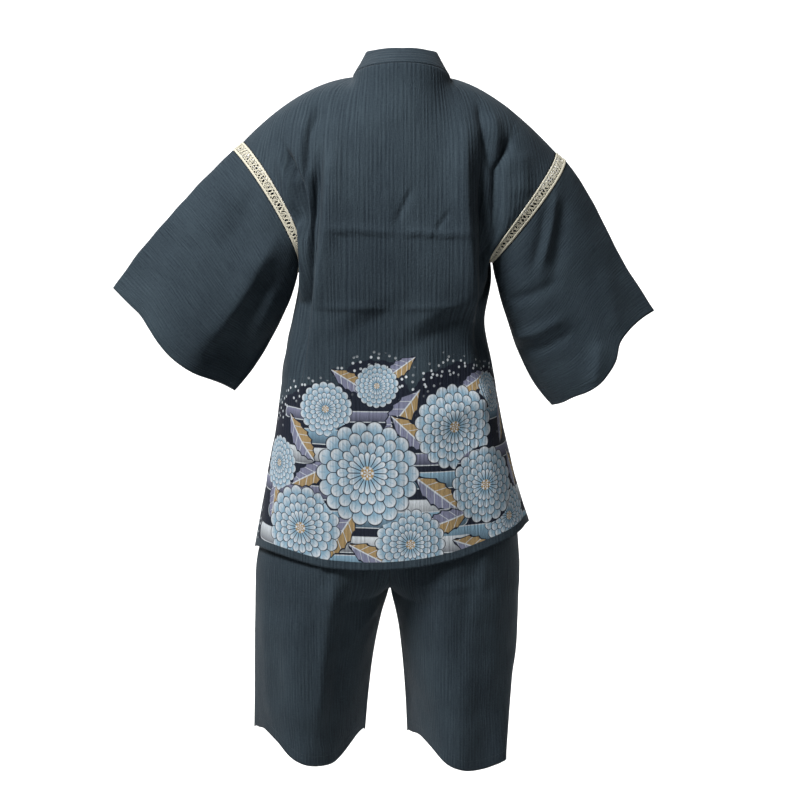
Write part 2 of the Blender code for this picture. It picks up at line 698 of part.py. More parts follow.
def off_cuff(arm):
    """The way out of the cuff, square to the straight line between its creases."""
    run = Vector((arm.cuff_bottom[0] - arm.cuff_top[0], 0.0, arm.cuff_bottom[1] - arm.cuff_top[1])).normalized()
    return Vector((-arm.sign * run.z, 0.0, arm.sign * run.x))


def sleeve_line(arm, side, fall, count):
    """A line of the sleeve's cloth from the lace to the cuff, from its top (0) to its underside (1)."""
    start = edge_point(arm, side, fall) + lace_way(arm, side, fall) * (lace_width(fall) + SEAM_GAP)
    end = cuff_point(arm, side, fall)
    span = (end - start).length * SLEEVE_HANG
    hang = Vector((arm.sign * 0.10, 0.0, -1.0)).normalized()
    leave = (end - start).normalized().lerp(hang, ease(fall * 1.4 - 0.4)).normalized()
    near = start + leave * span + Vector((0.0, side * SLEEVE_BULGE * math.sin(fall * math.pi), 0.0))
    crown = Vector((arm.sign * 0.73, 0.0, 0.68)) * SLEEVE_CROWN * (1 - ease(fall * 2.5))
    away = end - off_cuff(arm) * span
    return [bezier(start, near + crown, away + crown, end, k / count) for k in range(count + 1)]


def sleeve_falls(steps):
    """(side, fall) for each column, from the top crease down the back and up the front again."""
    return [(1, k / steps) for k in range(steps + 1)] + [(-1, 1 - k / steps) for k in range(1, steps + 1)]


def make_sleeve(arm, material):
    """A sleeve as one tube."""
    falls = sleeve_falls(YOKE_ROWS)
    if arm.sign > 0:
        falls = falls[::-1]
    lines = [sleeve_line(arm, side, fall, SLEEVE_ROWS) for side, fall in falls]
    rows = pressed([[line[i] for line in lines] for i in range(SLEEVE_ROWS + 1)], SLEEVE_FOLDS, 1, ring=True)
    for row in rows:
        row[-1] = row[0]

    def inward(i, j, point, own):
        side, fall = falls[j]
        return cuffward_inward(arm, side, fall) if i == 0 else own

    def thick(i, point):
        return HEM_CLOTH if i == SLEEVE_ROWS else CLOTH

    return wall(f"sleeve_{arm.name}", rows, material, thick, inward, ring=True)


# The neckband


def collar_half(arm):
    """(seam's point, free edge's point) down one half of the band, from the middle of the neck.

    Its seam runs over the corners of the back's neckline and of the front's free edge.
    """
    around = back_rows(BACK_COLUMNS, YOKE_ROWS, SKIRT_ROWS)[0]
    centre, per_side = BACK_COLUMNS // 2, BACK_COLUMNS // 6
    neck = [around[centre + arm.sign * k] for k in range(per_side + 1)]
    rows = front_rows(arm, FRONT_COLUMNS, YOKE_ROWS, SKIRT_ROWS)[: YOKE_ROWS + BAND_ROWS + 1]
    seam = neck + [row[0 if arm.sign < 0 else -1] for row in rows[1:]]
    reached = [0.0]
    for a, b in zip(seam, seam[1:]):
        reached.append(reached[-1] + (b - a).length)
    pairs = []
    for k, point in enumerate(seam):
        along = reached[k] / reached[-1]
        off = Vector((
            -arm.sign * read(COLLAR, along, "inward"), read(COLLAR, along, "back"), read(COLLAR, along, "rise"),
        ))
        down = k - per_side
        if down > 0:
            in_yoke = down <= YOKE_ROWS
            surface = front_yoke if in_yoke else front_skirt
            fall = down / YOKE_ROWS if in_yoke else (down - YOKE_ROWS) / SKIRT_ROWS
            lying = surface(arm, -BAND_PAST, fall) - surface(arm, 0.0, fall)
            off = off.lerp(lying.normalized() * BAND_WIDTH, ease((along - 0.20) / 0.20))
        pairs.append((point + off.normalized() * SEAM_GAP, point + off))
    return pairs


def make_collar(material):
    left, right = collar_half(LEFT), collar_half(RIGHT)
    pairs = right[::-1] + left[1:]
    rows = [[pair[1] for pair in pairs], [pair[0].lerp(pair[1], 0.5) for pair in pairs], [pair[0] for pair in pairs]]

    def inward(i, j, point, own):
        return neck_inward(point) if i == 2 else own

    return wall("neckband", rows, material, lambda i, point: BAND_CLOTH, inward)


# The tie


def front_face(x, drop):
    """How far forward the jacket's front lies here."""
    side = read(TORSO, drop, "left" if x > middle(drop) else "right")
    square = read(TORSO, drop, "square")
    share = min(abs((x - middle(drop)) / (side - middle(drop))), 1.0)
    return -read(TORSO, drop, "front") * (1 - share**square) ** (1 / square)


def on_front(x, drop, off):
    return Vector((x, front_face(x, drop) - off, -drop))


def make_tie(material):
    x0, drop0 = TIE_PLACE
    half_x, half_z, deep = KNOT_SIZE
    rows = []
    for i in range(5):
        row = []
        for j in range(5):
            u, v = 1 - j / 2, 1 - i / 2
            x, drop = x0 + half_x * u * (1 - 0.12 * v * v), drop0 - half_z * v * (1 - 0.12 * u * u)
            row.append(on_front(x, drop, TIE_STAND_OFF + deep - 0.0012 * (u * u + v * v)))
        rows.append(row)
    wall("tie_knot", rows, material, lambda i, point: deep - 0.0024)
    for number, (way, start, length) in enumerate(zip((1, -1), LOOP_STARTS, LOOP_LENGTHS)):
        steps, rows = 6, []
        for v in (1.0, 0.0, -1.0):
            row = []
            for k in range(steps + 1):
                along = k / steps
                x = x0 + way * (start + length * along)
                drop = drop0 - v * read(LOOP, along, "half") + read(LOOP, along, "sink")
                row.append(on_front(x, drop, TIE_STAND_OFF + TIE_CLOTH * (1.3 - 0.3 * v * v)))
            rows.append(row if way < 0 else row[::-1])
        wall(f"tie_loop_{('left', 'right')[number]}", rows, material, lambda i, point: TIE_CLOTH)
    for number, (way, length) in enumerate(zip((1, -1), TAIL_LENGTHS)):
        steps, rows = 6, []
        for k in range(steps + 1):
            along = k / steps
            drop = drop0 + half_z + SEAM_GAP + length * along
            centre = x0 + way * (TAIL_HALF + SEAM_GAP / 2 + 0.010 * along)
            row = [on_front(centre + TAIL_HALF * u, drop, TIE_STAND_OFF + TIE_CLOTH) for u in (1.0, 0.0, -1.0)]
            rows.append(row)
        wall(f"tie_tail_{('left', 'right')[number]}", rows, material, lambda i, point: TIE_CLOTH)


# The shorts


def leg_point(arm, side, across, drop):
    """Half of the shorts, behind (1) or in front (-1): across runs from the middle or inseam (0) to the side (1)."""
    outer, inner = read(SHORTS, drop, arm.name), read(SHORTS, drop, f"inner_{arm.name}")
    lobe = mix(inner, outer, read(SHORTS, drop, "lobe"))
    turn = (across - 0.5) * math.pi
    shape = max(math.cos(turn), 0.0)
    if across < 0.5:
        left_inside = min(max(read(SHORTS, drop, "inside"), 0.0), 1.0)
        shape = math.sqrt(mix(shape**2, 1.0, left_inside**2))
        x = mix(lobe, inner, -math.sin(turn))
    else:
        x = mix(lobe, outer, math.sin(turn))
    depth = read(SHORTS, drop, "back" if side > 0 else "front")
    outward = ease(math.sin(turn)) * (arm.sign < 0)
    crease = mix(read(SHORTS, drop, "crease"), read(SHORTS, drop, "crease_right"), outward)
    turned = read(SHORTS, drop, "turned") * outward
    return Vector((x, turned + (side * depth - turned) * shape**crease, -drop))


def leg_rows(arm, side, columns, drops):
    rows = []
    for drop in drops:
        row = []
        for k in range(columns + 1):
            across = k / columns
            hem = read(LEG_HEMS, across, arm.name)
            if side < 0:
                hem = mix(LEG_HEMS[0]._asdict()[arm.name], LEG_HEMS[-1]._asdict()[arm.name], across)
            below = max(drop - CROTCH_DROP, 0.0) / (LEG_HEM - CROTCH_DROP)
            row.append(leg_point(arm, side, across, min(drop, CROTCH_DROP) + below * (hem - CROTCH_DROP)))
        rows.append(row)
    # Seen from outside, columns run to the right.
    return rows if arm.sign * side > 0 else [row[::-1] for row in rows]


def make_leg(arm, side, material):
    rows = leg_rows(arm, side, LEG_COLUMNS, LEG_DROPS)
    if side > 0:
        rows = pressed(rows, LEG_FOLDS, 1)
    seam_clear(rows)
    last = len(rows) - 1
    inseam = 0 if arm.sign * side > 0 else LEG_COLUMNS

    def inward(i, j, point, own):
        if j not in (0, LEG_COLUMNS):
            return own
        if j == inseam and LEG_DROPS[i] < CROTCH_DROP - 0.0005:
            level = Vector((0.0, own.y, own.z))
            return level / max(level.length, 0.5)
        return in_seam_plane(own)

    def thick(i, point):
        return HEM_CLOTH if i == last else CLOTH

    return wall(f"shorts_{'back' if side > 0 else 'front'}_{arm.name}", rows, material, thick, inward)


def make_waistband(material):
    rows = []
    for drop in (WAISTBAND_TOP, SHORTS_TOP - SEAM_GAP):
        row = []
        for k in range(WAIST_STEPS + 1):
            turn = 2 * math.pi * k / WAIST_STEPS
            side = WAISTBAND_SIDE[0] if math.cos(turn) > 0 else WAISTBAND_SIDE[1]
            depth = WAISTBAND_DEPTH[0] if math.sin(turn) < 0 else WAISTBAND_DEPTH[1]
            row.append(Vector((
                middle(drop) + (side - middle(drop)) * abs(math.cos(turn)), -depth * math.sin(turn), -drop,
            )))
        rows.append(row)
    return wall("shorts_waistband", rows, material, lambda i, point: BAND_CLOTH, ring=True)


def build():
    clear_scene()
    indigo = cloth_material("indigo_cotton", INDIGO)
    cream = cloth_material("cream_lace", CREAM)
    make_back(indigo)
    make_collar(indigo)
    make_tie(indigo)
    make_waistband(indigo)
    for arm in (LEFT, RIGHT):
        make_front(arm, indigo)
        make_sleeve(arm, indigo)
        for side in (1, -1):
            make_lace(arm, side, cream)
            make_leg(arm, side, indigo)


build()
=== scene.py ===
"""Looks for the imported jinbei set, laid out as an add-on: fine cloth on the solids' form, with its creases,
weave, print, sewing and lace, and the stage.

Metres, +Z up. +X is the wearer's left, -Y the wearer's front, and the origin lies between the neck's sides.
"""

import json
import math
from collections import namedtuple

import bmesh
import bpy
import numpy as np
from bpy.props import FloatProperty, FloatVectorProperty, PointerProperty
from bpy.types import Operator, Panel, PropertyGroup
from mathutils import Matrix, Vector, noise

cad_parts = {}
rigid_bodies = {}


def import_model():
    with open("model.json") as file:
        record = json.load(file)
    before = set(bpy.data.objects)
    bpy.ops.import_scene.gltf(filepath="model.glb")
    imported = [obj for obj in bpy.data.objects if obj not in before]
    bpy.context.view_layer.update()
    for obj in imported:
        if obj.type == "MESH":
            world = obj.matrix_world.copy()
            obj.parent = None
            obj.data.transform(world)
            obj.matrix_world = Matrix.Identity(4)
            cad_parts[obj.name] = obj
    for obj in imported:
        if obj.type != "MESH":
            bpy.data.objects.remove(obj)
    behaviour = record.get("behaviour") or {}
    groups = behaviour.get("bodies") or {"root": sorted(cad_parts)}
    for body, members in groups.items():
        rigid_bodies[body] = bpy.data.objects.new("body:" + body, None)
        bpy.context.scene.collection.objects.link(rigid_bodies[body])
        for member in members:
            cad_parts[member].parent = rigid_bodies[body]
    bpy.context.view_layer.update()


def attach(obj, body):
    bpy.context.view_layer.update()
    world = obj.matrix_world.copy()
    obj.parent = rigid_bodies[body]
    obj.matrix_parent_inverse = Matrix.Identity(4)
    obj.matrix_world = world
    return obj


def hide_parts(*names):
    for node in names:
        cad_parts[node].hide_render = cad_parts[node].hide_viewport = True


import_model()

bl_info = {
    "name": "Jinbei set looks",
    "version": (1, 0, 0),
    "blender": (4, 5, 0),
    "location": "3D View > Sidebar > Jinbei",
    "description": "Cloth, creases, print, sewing and lace for a packed jinbei set",
    "category": "Object",
}

# The cut and hang of the jacket, as in the solids
SEAM_GAP = 0.0004
LEAN = 0.024
NECK_SHARE = 0.25
NECK_BACK = (0.075, 0.017)
ARMPIT_ROW_DROP = 0.325
Arm = namedtuple(
    "Arm", "name sign neck ridge shoulder armpit shoulder_pull armpit_pull edge_lift cuff_top cuff_bottom"
)
LEFT = Arm(
    "left", 1, (0.0706, 0.0), (0.1486, -0.0266), (0.2307, -0.0918), (0.152, -0.280),
    0.038, 0.045, 0.020, (0.4272, -0.3040), (0.2503, -0.4587),
)
RIGHT = Arm(
    "right", -1, (-0.0689, -0.0013), (-0.1398, -0.0337), (-0.2232, -0.1070), (-0.131, -0.262),
    0.006, 0.040, -0.018, (-0.3750, -0.3367), (-0.2252, -0.4801),
)
Section = namedtuple("Section", "drop left right back front square")
TORSO = [
    Section(0.240, 0.150, -0.1310, 0.114, 0.112, 3.2),
    Section(0.300, 0.153, -0.1290, 0.112, 0.118, 3.2),
    Section(0.350, 0.163, -0.1215, 0.109, 0.120, 3.1),
    Section(0.410, 0.175, -0.1330, 0.108, 0.121, 3.0),
    Section(0.470, 0.183, -0.1440, 0.113, 0.125, 2.8),
    Section(0.550, 0.196, -0.1610, 0.124, 0.134, 2.6),
    Section(0.630, 0.212, -0.1835, 0.136, 0.140, 2.5),
    Section(0.710, 0.227, -0.2080, 0.146, 0.144, 2.4),
]
HemPoint = namedtuple("HemPoint", "across drop")
HEM = [
    HemPoint(-1.00, 0.6575), HemPoint(-0.80, 0.6515), HemPoint(-0.65, 0.6560), HemPoint(-0.50, 0.6640),
    HemPoint(-0.25, 0.6820), HemPoint(0.00, 0.6930), HemPoint(0.25, 0.6935), HemPoint(0.50, 0.6830),
    HemPoint(0.65, 0.6815), HemPoint(0.80, 0.6860), HemPoint(1.00, 0.6980),
]
Fall = namedtuple("Fall", "across near_y near_dip pull far_y far_lift")
BACK_FALL = [
    Fall(0.00, 0.100, 0.077, 0.000, 0.119, 0.100),
    Fall(0.12, 0.103, 0.062, 0.000, 0.119, 0.102),
    Fall(0.25, 0.114, 0.030, 0.000, 0.119, 0.105),
    Fall(0.50, 0.106, 0.010, 0.000, 0.123, 0.110),
    Fall(0.75, 0.094, 0.012, 0.450, 0.120, 0.070),
    Fall(1.00, 0.085, 0.026, 1.000, 0.115, 0.000),
]
FRONT_FALL = [
    Fall(0.00, 0.060, 0.030, -0.70, 0.114, 0.110),
    Fall(0.50, 0.075, 0.008, -0.10, 0.118, 0.110),
    Fall(1.00, 0.075, 0.022, 0.90, 0.100, 0.000),
]
Edge = namedtuple("Edge", "drop past")
WRAP = [Edge(0.300, 0.040), Edge(0.380, 0.056), Edge(0.450, 0.064), Edge(0.700, 0.068)]
UNDER_WRAP = 0.0120
UNDER_WRAP_BLEND = 0.045
VENT_HEIGHT = 0.105
VENT_GAP = 0.010
Band = namedtuple("Band", "along inward back rise")
COLLAR = [
    Band(0.00, 0.000, -0.032, 0.021), Band(0.08, 0.011, -0.027, 0.024), Band(0.17, 0.019, -0.002, 0.030),
    Band(0.25, 0.031, -0.003, 0.020), Band(0.40, 0.036, -0.006, 0.012), Band(1.00, 0.038, -0.004, 0.010),
]
BAND_WIDTH = 0.040
BAND_PAST = 0.095
BAND_THICK = 0.0024
BAND_SKIRT_SHARE = 6 / 13
LACE_TOP = 0.0185
LACE_UNDER = 0.0080
Cuff = namedtuple("Cuff", "along deep left_out right_out")
CUFF = [
    Cuff(0.00, 0.000, 0.000, 0.000), Cuff(0.08, 0.010, -0.0005, -0.005), Cuff(0.16, 0.022, -0.0015, -0.009),
    Cuff(0.25, 0.034, -0.0025, -0.011), Cuff(0.35, 0.047, 0.0015, -0.009), Cuff(0.45, 0.057, 0.007, 0.004),
    Cuff(0.55, 0.063, 0.010, 0.010), Cuff(0.65, 0.064, 0.0095, 0.012), Cuff(0.75, 0.056, 0.007, 0.010),
    Cuff(0.85, 0.040, 0.0025, 0.0045), Cuff(0.93, 0.022, -0.0005, 0.003), Cuff(1.00, 0.000, 0.000, 0.000),
]
FRONT_SWING = 0.2
SLEEVE_BULGE = 0.012
SLEEVE_HANG = 0.34
SLEEVE_CROWN = 0.0080

# The shorts, as in the solids
Leg = namedtuple(
    "Leg", "drop left right back front inner_left inner_right lobe inside crease crease_right turned"
)
CROTCH_DROP = 0.757
SHORTS = [
    Leg(0.463, 0.1480, -0.1270, 0.092, 0.096, 0.0180, 0.0180, 0.15, 1.00, 1.00, 1.00, 0.000),
    Leg(0.520, 0.1700, -0.1420, 0.106, 0.104, 0.0180, 0.0180, 0.21, 1.00, 1.00, 1.00, 0.000),
    Leg(0.600, 0.1960, -0.1630, 0.121, 0.110, 0.0180, 0.0180, 0.31, 0.99, 1.00, 1.00, 0.000),
    Leg(0.660, 0.2100, -0.1750, 0.126, 0.112, 0.0180, 0.0180, 0.38, 0.95, 1.00, 1.00, 0.000),
    Leg(0.700, 0.2180, -0.1785, 0.127, 0.112, 0.0180, 0.0180, 0.42, 0.86, 1.01, 1.01, 0.001),
    Leg(0.720, 0.2215, -0.1800, 0.1265, 0.112, 0.0180, 0.0180, 0.44, 0.76, 1.02, 1.02, 0.001),
    Leg(0.735, 0.2230, -0.1800, 0.126, 0.112, 0.0180, 0.0180, 0.45, 0.64, 1.03, 1.03, 0.002),
    Leg(0.745, 0.2240, -0.1800, 0.126, 0.112, 0.0180, 0.0180, 0.46, 0.50, 1.04, 1.03, 0.003),
    Leg(0.752, 0.2245, -0.1800, 0.1255, 0.112, 0.0180, 0.0180, 0.465, 0.33, 1.05, 1.04, 0.004),
    Leg(0.757, 0.2250, -0.1795, 0.125, 0.112, 0.0180, 0.0180, 0.47, 0.00, 1.06, 1.04, 0.005),
    Leg(0.800, 0.2265, -0.1775, 0.123, 0.112, 0.0300, 0.0090, 0.49, 0.00, 1.16, 1.08, 0.013),
    Leg(0.867, 0.2285, -0.1710, 0.121, 0.113, 0.0435, 0.0005, 0.50, 0.00, 1.42, 1.13, 0.030),
    Leg(0.935, 0.2300, -0.1645, 0.121, 0.115, 0.0520, -0.0050, 0.50, 0.00, 1.80, 1.18, 0.053),
    Leg(0.998, 0.2320, -0.1585, 0.121, 0.117, 0.0575, -0.0080, 0.50, 0.00, 2.20, 1.20, 0.078),
]
SHORTS_TOP = 0.4654
LEG_HEM = 0.998
LegHem = namedtuple("LegHem", "across left right")
LEG_HEMS = [
    LegHem(0.00, 0.9980, 1.0000), LegHem(0.14, 0.9935, 0.9936), LegHem(0.23, 0.9990, 0.9855),
    LegHem(0.33, 1.0110, 0.9900), LegHem(0.42, 1.0073, 1.0020), LegHem(0.50, 1.0020, 1.0085),
    LegHem(0.58, 0.9940, 1.0140), LegHem(0.67, 0.9785, 1.0155), LegHem(0.77, 0.9755, 1.0120),
    LegHem(0.86, 0.9857, 1.0090), LegHem(1.00, 0.9930, 1.0100),
]
WAISTBAND_TOP = 0.430
WAISTBAND_SIDE = (0.1450, -0.1240)
WAISTBAND_DEPTH = (0.089, 0.095)

# The tie, as in the solids
TIE_PLACE = (-0.085, 0.455)
TIE_STAND_OFF = 0.0006
KNOT_SIZE = (0.0076, 0.0090, 0.0060)
Loop = namedtuple("Loop", "along half sink")
LOOP = [
    Loop(0.00, 0.0050, 0.000), Loop(0.35, 0.0100, 0.001), Loop(0.70, 0.0115, 0.004),
    Loop(0.92, 0.0085, 0.007), Loop(1.00, 0.0040, 0.008),
]
LOOP_STARTS = (0.0080, 0.0066)
LOOP_LENGTHS = (0.036, 0.030)
TAIL_HALF = 0.0062
TAIL_LENGTHS = (0.082, 0.094)

# The largest folds, as in the solids: how wide, and how deep the cloth is pressed in
Fold = namedtuple("Fold", "x0 z0 x1 z1 wide deep")
BACK_FOLDS = [
    Fold(0.122, -0.050, 0.136, -0.190, 0.026, 0.007),
    Fold(-0.128, -0.090, -0.120, -0.190, 0.026, 0.006),
    Fold(-0.090, -0.090, -0.098, -0.330, 0.026, -0.005),
    Fold(0.060, -0.520, 0.080, -0.690, 0.032, 0.006),
    Fold(-0.080, -0.500, -0.110, -0.660, 0.032, 0.007),
]
SLEEVE_FOLDS = [
    Fold(0.225, -0.200, 0.270, -0.420, 0.034, 0.007),
    Fold(0.310, -0.210, 0.350, -0.370, 0.034, -0.004),
    Fold(-0.205, -0.200, -0.262, -0.390, 0.034, 0.006),
    Fold(-0.280, -0.240, -0.310, -0.400, 0.034, -0.004),
]
LEG_FOLDS = [
    Fold(0.118, -0.790, 0.105, -0.960, 0.034, 0.005),
    Fold(0.170, -0.790, 0.160, -0.930, 0.034, -0.004),
    Fold(-0.115, -0.790, -0.120, -0.930, 0.032, 0.004),
]

# Creases, through three places (x, z): how wide each is, how far it is raised, how sharp its crest is
# from 0 to 1, and how much wider it is on its right side, going down (-1 to 1)
Crease = namedtuple("Crease", "x0 z0 x1 z1 x2 z2 wide lift sharp lean")
BACK_CREASES = [
    Crease(0.120, -0.032, 0.133, -0.080, 0.141, -0.150, 0.0080, -0.0090, 0.6, 0.3),
    Crease(0.130, -0.045, 0.143, -0.100, 0.149, -0.165, 0.0110, 0.0050, 0.1, 0.0),
    Crease(0.168, -0.096, 0.149, -0.145, 0.143, -0.235, 0.0090, -0.0200, 0.7, -0.6),
    Crease(0.178, -0.100, 0.162, -0.148, 0.155, -0.205, 0.0090, 0.0070, 0.3, 0.0),
    Crease(-0.050, -0.325, -0.080, -0.385, -0.100, -0.470, 0.0560, -0.0160, 0.0, 0.0),
    Crease(0.060, -0.320, 0.030, -0.370, 0.010, -0.440, 0.0500, -0.0070, 0.0, 0.0),
    Crease(0.094, -0.070, 0.110, -0.225, 0.138, -0.430, 0.0140, 0.0060, 0.3, 0.4),
    Crease(0.112, -0.085, 0.125, -0.235, 0.154, -0.470, 0.0150, -0.0220, 0.9, -0.9),
    Crease(0.122, -0.110, 0.134, -0.235, 0.160, -0.430, 0.0070, -0.0100, 0.5, 0.0),
    Crease(-0.086, -0.060, -0.093, -0.215, -0.112, -0.410, 0.0130, 0.0060, 0.3, -0.4),
    Crease(-0.114, -0.080, -0.122, -0.235, -0.136, -0.430, 0.0150, -0.0150, 0.2, -0.5),
    Crease(-0.107, -0.032, -0.117, -0.082, -0.133, -0.133, 0.0080, -0.0080, 0.6, 0.0),
    Crease(-0.124, -0.045, -0.136, -0.090, -0.146, -0.130, 0.0100, 0.0050, 0.2, 0.0),
    Crease(-0.156, -0.082, -0.139, -0.126, -0.134, -0.250, 0.0110, -0.0160, 0.7, -0.6),
    Crease(-0.166, -0.100, -0.172, -0.137, -0.168, -0.172, 0.0130, 0.0040, 0.2, 0.0),
    Crease(-0.112, -0.120, -0.117, -0.190, -0.122, -0.250, 0.0080, -0.0035, 0.3, 0.0),
    Crease(-0.014, -0.154, -0.003, -0.176, 0.009, -0.202, 0.0055, -0.0032, 0.6, 0.3),
    Crease(-0.069, -0.182, -0.057, -0.199, -0.045, -0.215, 0.0055, -0.0044, 0.7, 0.4),
    Crease(-0.070, -0.178, -0.063, -0.196, -0.052, -0.212, 0.0060, 0.0016, 0.3, 0.0),
    Crease(0.020, -0.155, 0.018, -0.180, 0.015, -0.206, 0.0070, 0.0014, 0.2, 0.0),
    Crease(0.110, -0.212, 0.055, -0.213, 0.004, -0.217, 0.0062, 0.0046, 0.8, 0.7),
    Crease(0.012, -0.215, -0.048, -0.218, -0.104, -0.219, 0.0062, 0.0046, 0.8, 0.7),
    Crease(0.126, -0.321, 0.060, -0.322, 0.010, -0.323, 0.0055, 0.0026, 0.8, 0.4),
    Crease(0.010, -0.323, -0.045, -0.321, -0.100, -0.319, 0.0055, 0.0024, 0.8, 0.4),
    Crease(0.030, -0.060, 0.024, -0.100, 0.022, -0.145, 0.0180, -0.0016, 0.0, 0.0),
    Crease(0.150, -0.400, 0.140, -0.500, 0.150, -0.640, 0.0140, 0.0035, 0.2, 0.0),
    Crease(-0.118, -0.390, -0.118, -0.480, -0.140, -0.630, 0.0140, 0.0030, 0.2, 0.0),
    Crease(0.020, -0.470, 0.012, -0.570, 0.004, -0.690, 0.0180, 0.0026, 0.1, 0.0),
    Crease(-0.040, -0.560, -0.052, -0.620, -0.058, -0.685, 0.0160, -0.0026, 0.1, 0.0),
    Crease(0.110, -0.560, 0.122, -0.620, 0.128, -0.690, 0.0130, -0.0028, 0.1, 0.0),
]
FRONT_CREASES = [
    Crease(0.128, -0.060, 0.126, -0.140, 0.118, -0.230, 0.0100, -0.0045, 0.4, 0.0),
    Crease(0.110, -0.070, 0.106, -0.150, 0.096, -0.250, 0.0130, 0.0035, 0.3, 0.0),
    Crease(-0.122, -0.060, -0.118, -0.140, -0.108, -0.235, 0.0100, -0.0045, 0.4, 0.0),
    Crease(-0.104, -0.070, -0.098, -0.150, -0.086, -0.240, 0.0130, 0.0035, 0.3, 0.0),
    Crease(0.140, -0.216, 0.090, -0.220, 0.030, -0.218, 0.0060, 0.0022, 0.8, 0.5),
    Crease(-0.120, -0.218, -0.080, -0.221, -0.020, -0.220, 0.0060, 0.0022, 0.8, 0.5),
    Crease(0.160, -0.322, 0.080, -0.324, -0.030, -0.322, 0.0055, 0.0018, 0.8, 0.4),
    Crease(-0.060, -0.455, 0.010, -0.430, 0.090, -0.395, 0.0130, 0.0034, 0.2, 0.0),
    Crease(-0.056, -0.470, 0.020, -0.465, 0.120, -0.445, 0.0120, 0.0030, 0.2, 0.0),
    Crease(-0.052, -0.480, 0.000, -0.520, 0.050, -0.590, 0.0140, 0.0030, 0.1, 0.0),
    Crease(-0.050, -0.500, -0.030, -0.570, -0.022, -0.660, 0.0150, 0.0030, 0.1, 0.0),
    Crease(0.100, -0.480, 0.112, -0.570, 0.110, -0.670, 0.0180, -0.0034, 0.1, 0.0),
    Crease(0.160, -0.470, 0.166, -0.560, 0.176, -0.660, 0.0160, 0.0034, 0.1, 0.0),
    Crease(-0.100, -0.500, -0.112, -0.570, -0.120, -0.640, 0.0160, 0.0030, 0.1, 0.0),
]
SLEEVE_CREASES = [
    Crease(0.174, -0.216, 0.220, -0.298, 0.294, -0.408, 0.0180, 0.0090, 0.2, -0.4),
    Crease(0.164, -0.262, 0.212, -0.340, 0.266, -0.434, 0.0300, -0.0130, 0.0, 0.0),
    Crease(0.205, -0.152, 0.232, -0.200, 0.268, -0.250, 0.0150, -0.0030, 0.1, 0.0),
    Crease(0.172, -0.290, 0.196, -0.345, 0.236, -0.425, 0.0100, 0.0040, 0.2, 0.0),
    Crease(0.330, -0.250, 0.344, -0.300, 0.352, -0.350, 0.0140, 0.0022, 0.1, 0.0),
    Crease(-0.220, -0.155, -0.214, -0.208, -0.198, -0.275, 0.0080, 0.0050, 0.4, 0.0),
    Crease(-0.232, -0.165, -0.228, -0.220, -0.216, -0.300, 0.0120, -0.0040, 0.1, 0.0),
    Crease(-0.204, -0.180, -0.198, -0.225, -0.184, -0.275, 0.0080, -0.0035, 0.2, 0.0),
    Crease(-0.155, -0.376, -0.193, -0.362, -0.240, -0.336, 0.0090, 0.0040, 0.3, 0.0),
    Crease(-0.170, -0.396, -0.208, -0.384, -0.255, -0.356, 0.0100, -0.0036, 0.2, 0.0),
    Crease(-0.148, -0.318, -0.185, -0.306, -0.232, -0.285, 0.0090, -0.0036, 0.2, 0.0),
    Crease(-0.285, -0.372, -0.283, -0.410, -0.276, -0.445, 0.0110, 0.0050, 0.2, 0.0),
    Crease(-0.290, -0.270, -0.305, -0.320, -0.312, -0.370, 0.0140, 0.0022, 0.1, 0.0),
]
LEG_CREASES = [
    Crease(0.096, -0.690, 0.112, -0.800, 0.126, -0.975, 0.0170, 0.0090, 0.4, 0.4),
    Crease(0.066, -0.700, 0.082, -0.810, 0.098, -0.960, 0.0220, -0.0090, 0.1, 0.0),
    Crease(0.119, -0.660, 0.118, -0.705, 0.114, -0.750, 0.0050, 0.0022, 0.5, 0.0),
    Crease(0.110, -0.660, 0.109, -0.700, 0.106, -0.740, 0.0050, -0.0018, 0.4, 0.0),
    Crease(0.180, -0.700, 0.184, -0.830, 0.180, -0.950, 0.0120, -0.0026, 0.2, 0.0),
    Crease(0.200, -0.700, 0.205, -0.820, 0.202, -0.940, 0.0100, 0.0022, 0.2, 0.0),
    Crease(0.030, -0.770, 0.060, -0.800, 0.085, -0.850, 0.0090, 0.0026, 0.2, 0.0),
    Crease(-0.018, -0.640, -0.021, -0.700, -0.024, -0.760, 0.0060, 0.0024, 0.5, 0.0),
    Crease(-0.030, -0.650, -0.034, -0.720, -0.040, -0.800, 0.0090, -0.0024, 0.3, 0.0),
    Crease(-0.122, -0.640, -0.121, -0.690, -0.117, -0.745, 0.0060, 0.0026, 0.5, 0.0),
    Crease(-0.108, -0.650, -0.094, -0.760, -0.078, -0.890, 0.0150, -0.0034, 0.1, 0.0),
    Crease(-0.060, -0.700, -0.056, -0.820, -0.048, -0.950, 0.0150, 0.0026, 0.2, 0.0),
    Crease(-0.140, -0.700, -0.138, -0.820, -0.126, -0.940, 0.0130, 0.0024, 0.2, 0.0),
    Crease(-0.020, -0.722, -0.070, -0.728, -0.118, -0.720, 0.0070, 0.0014, 0.5, 0.0),
]
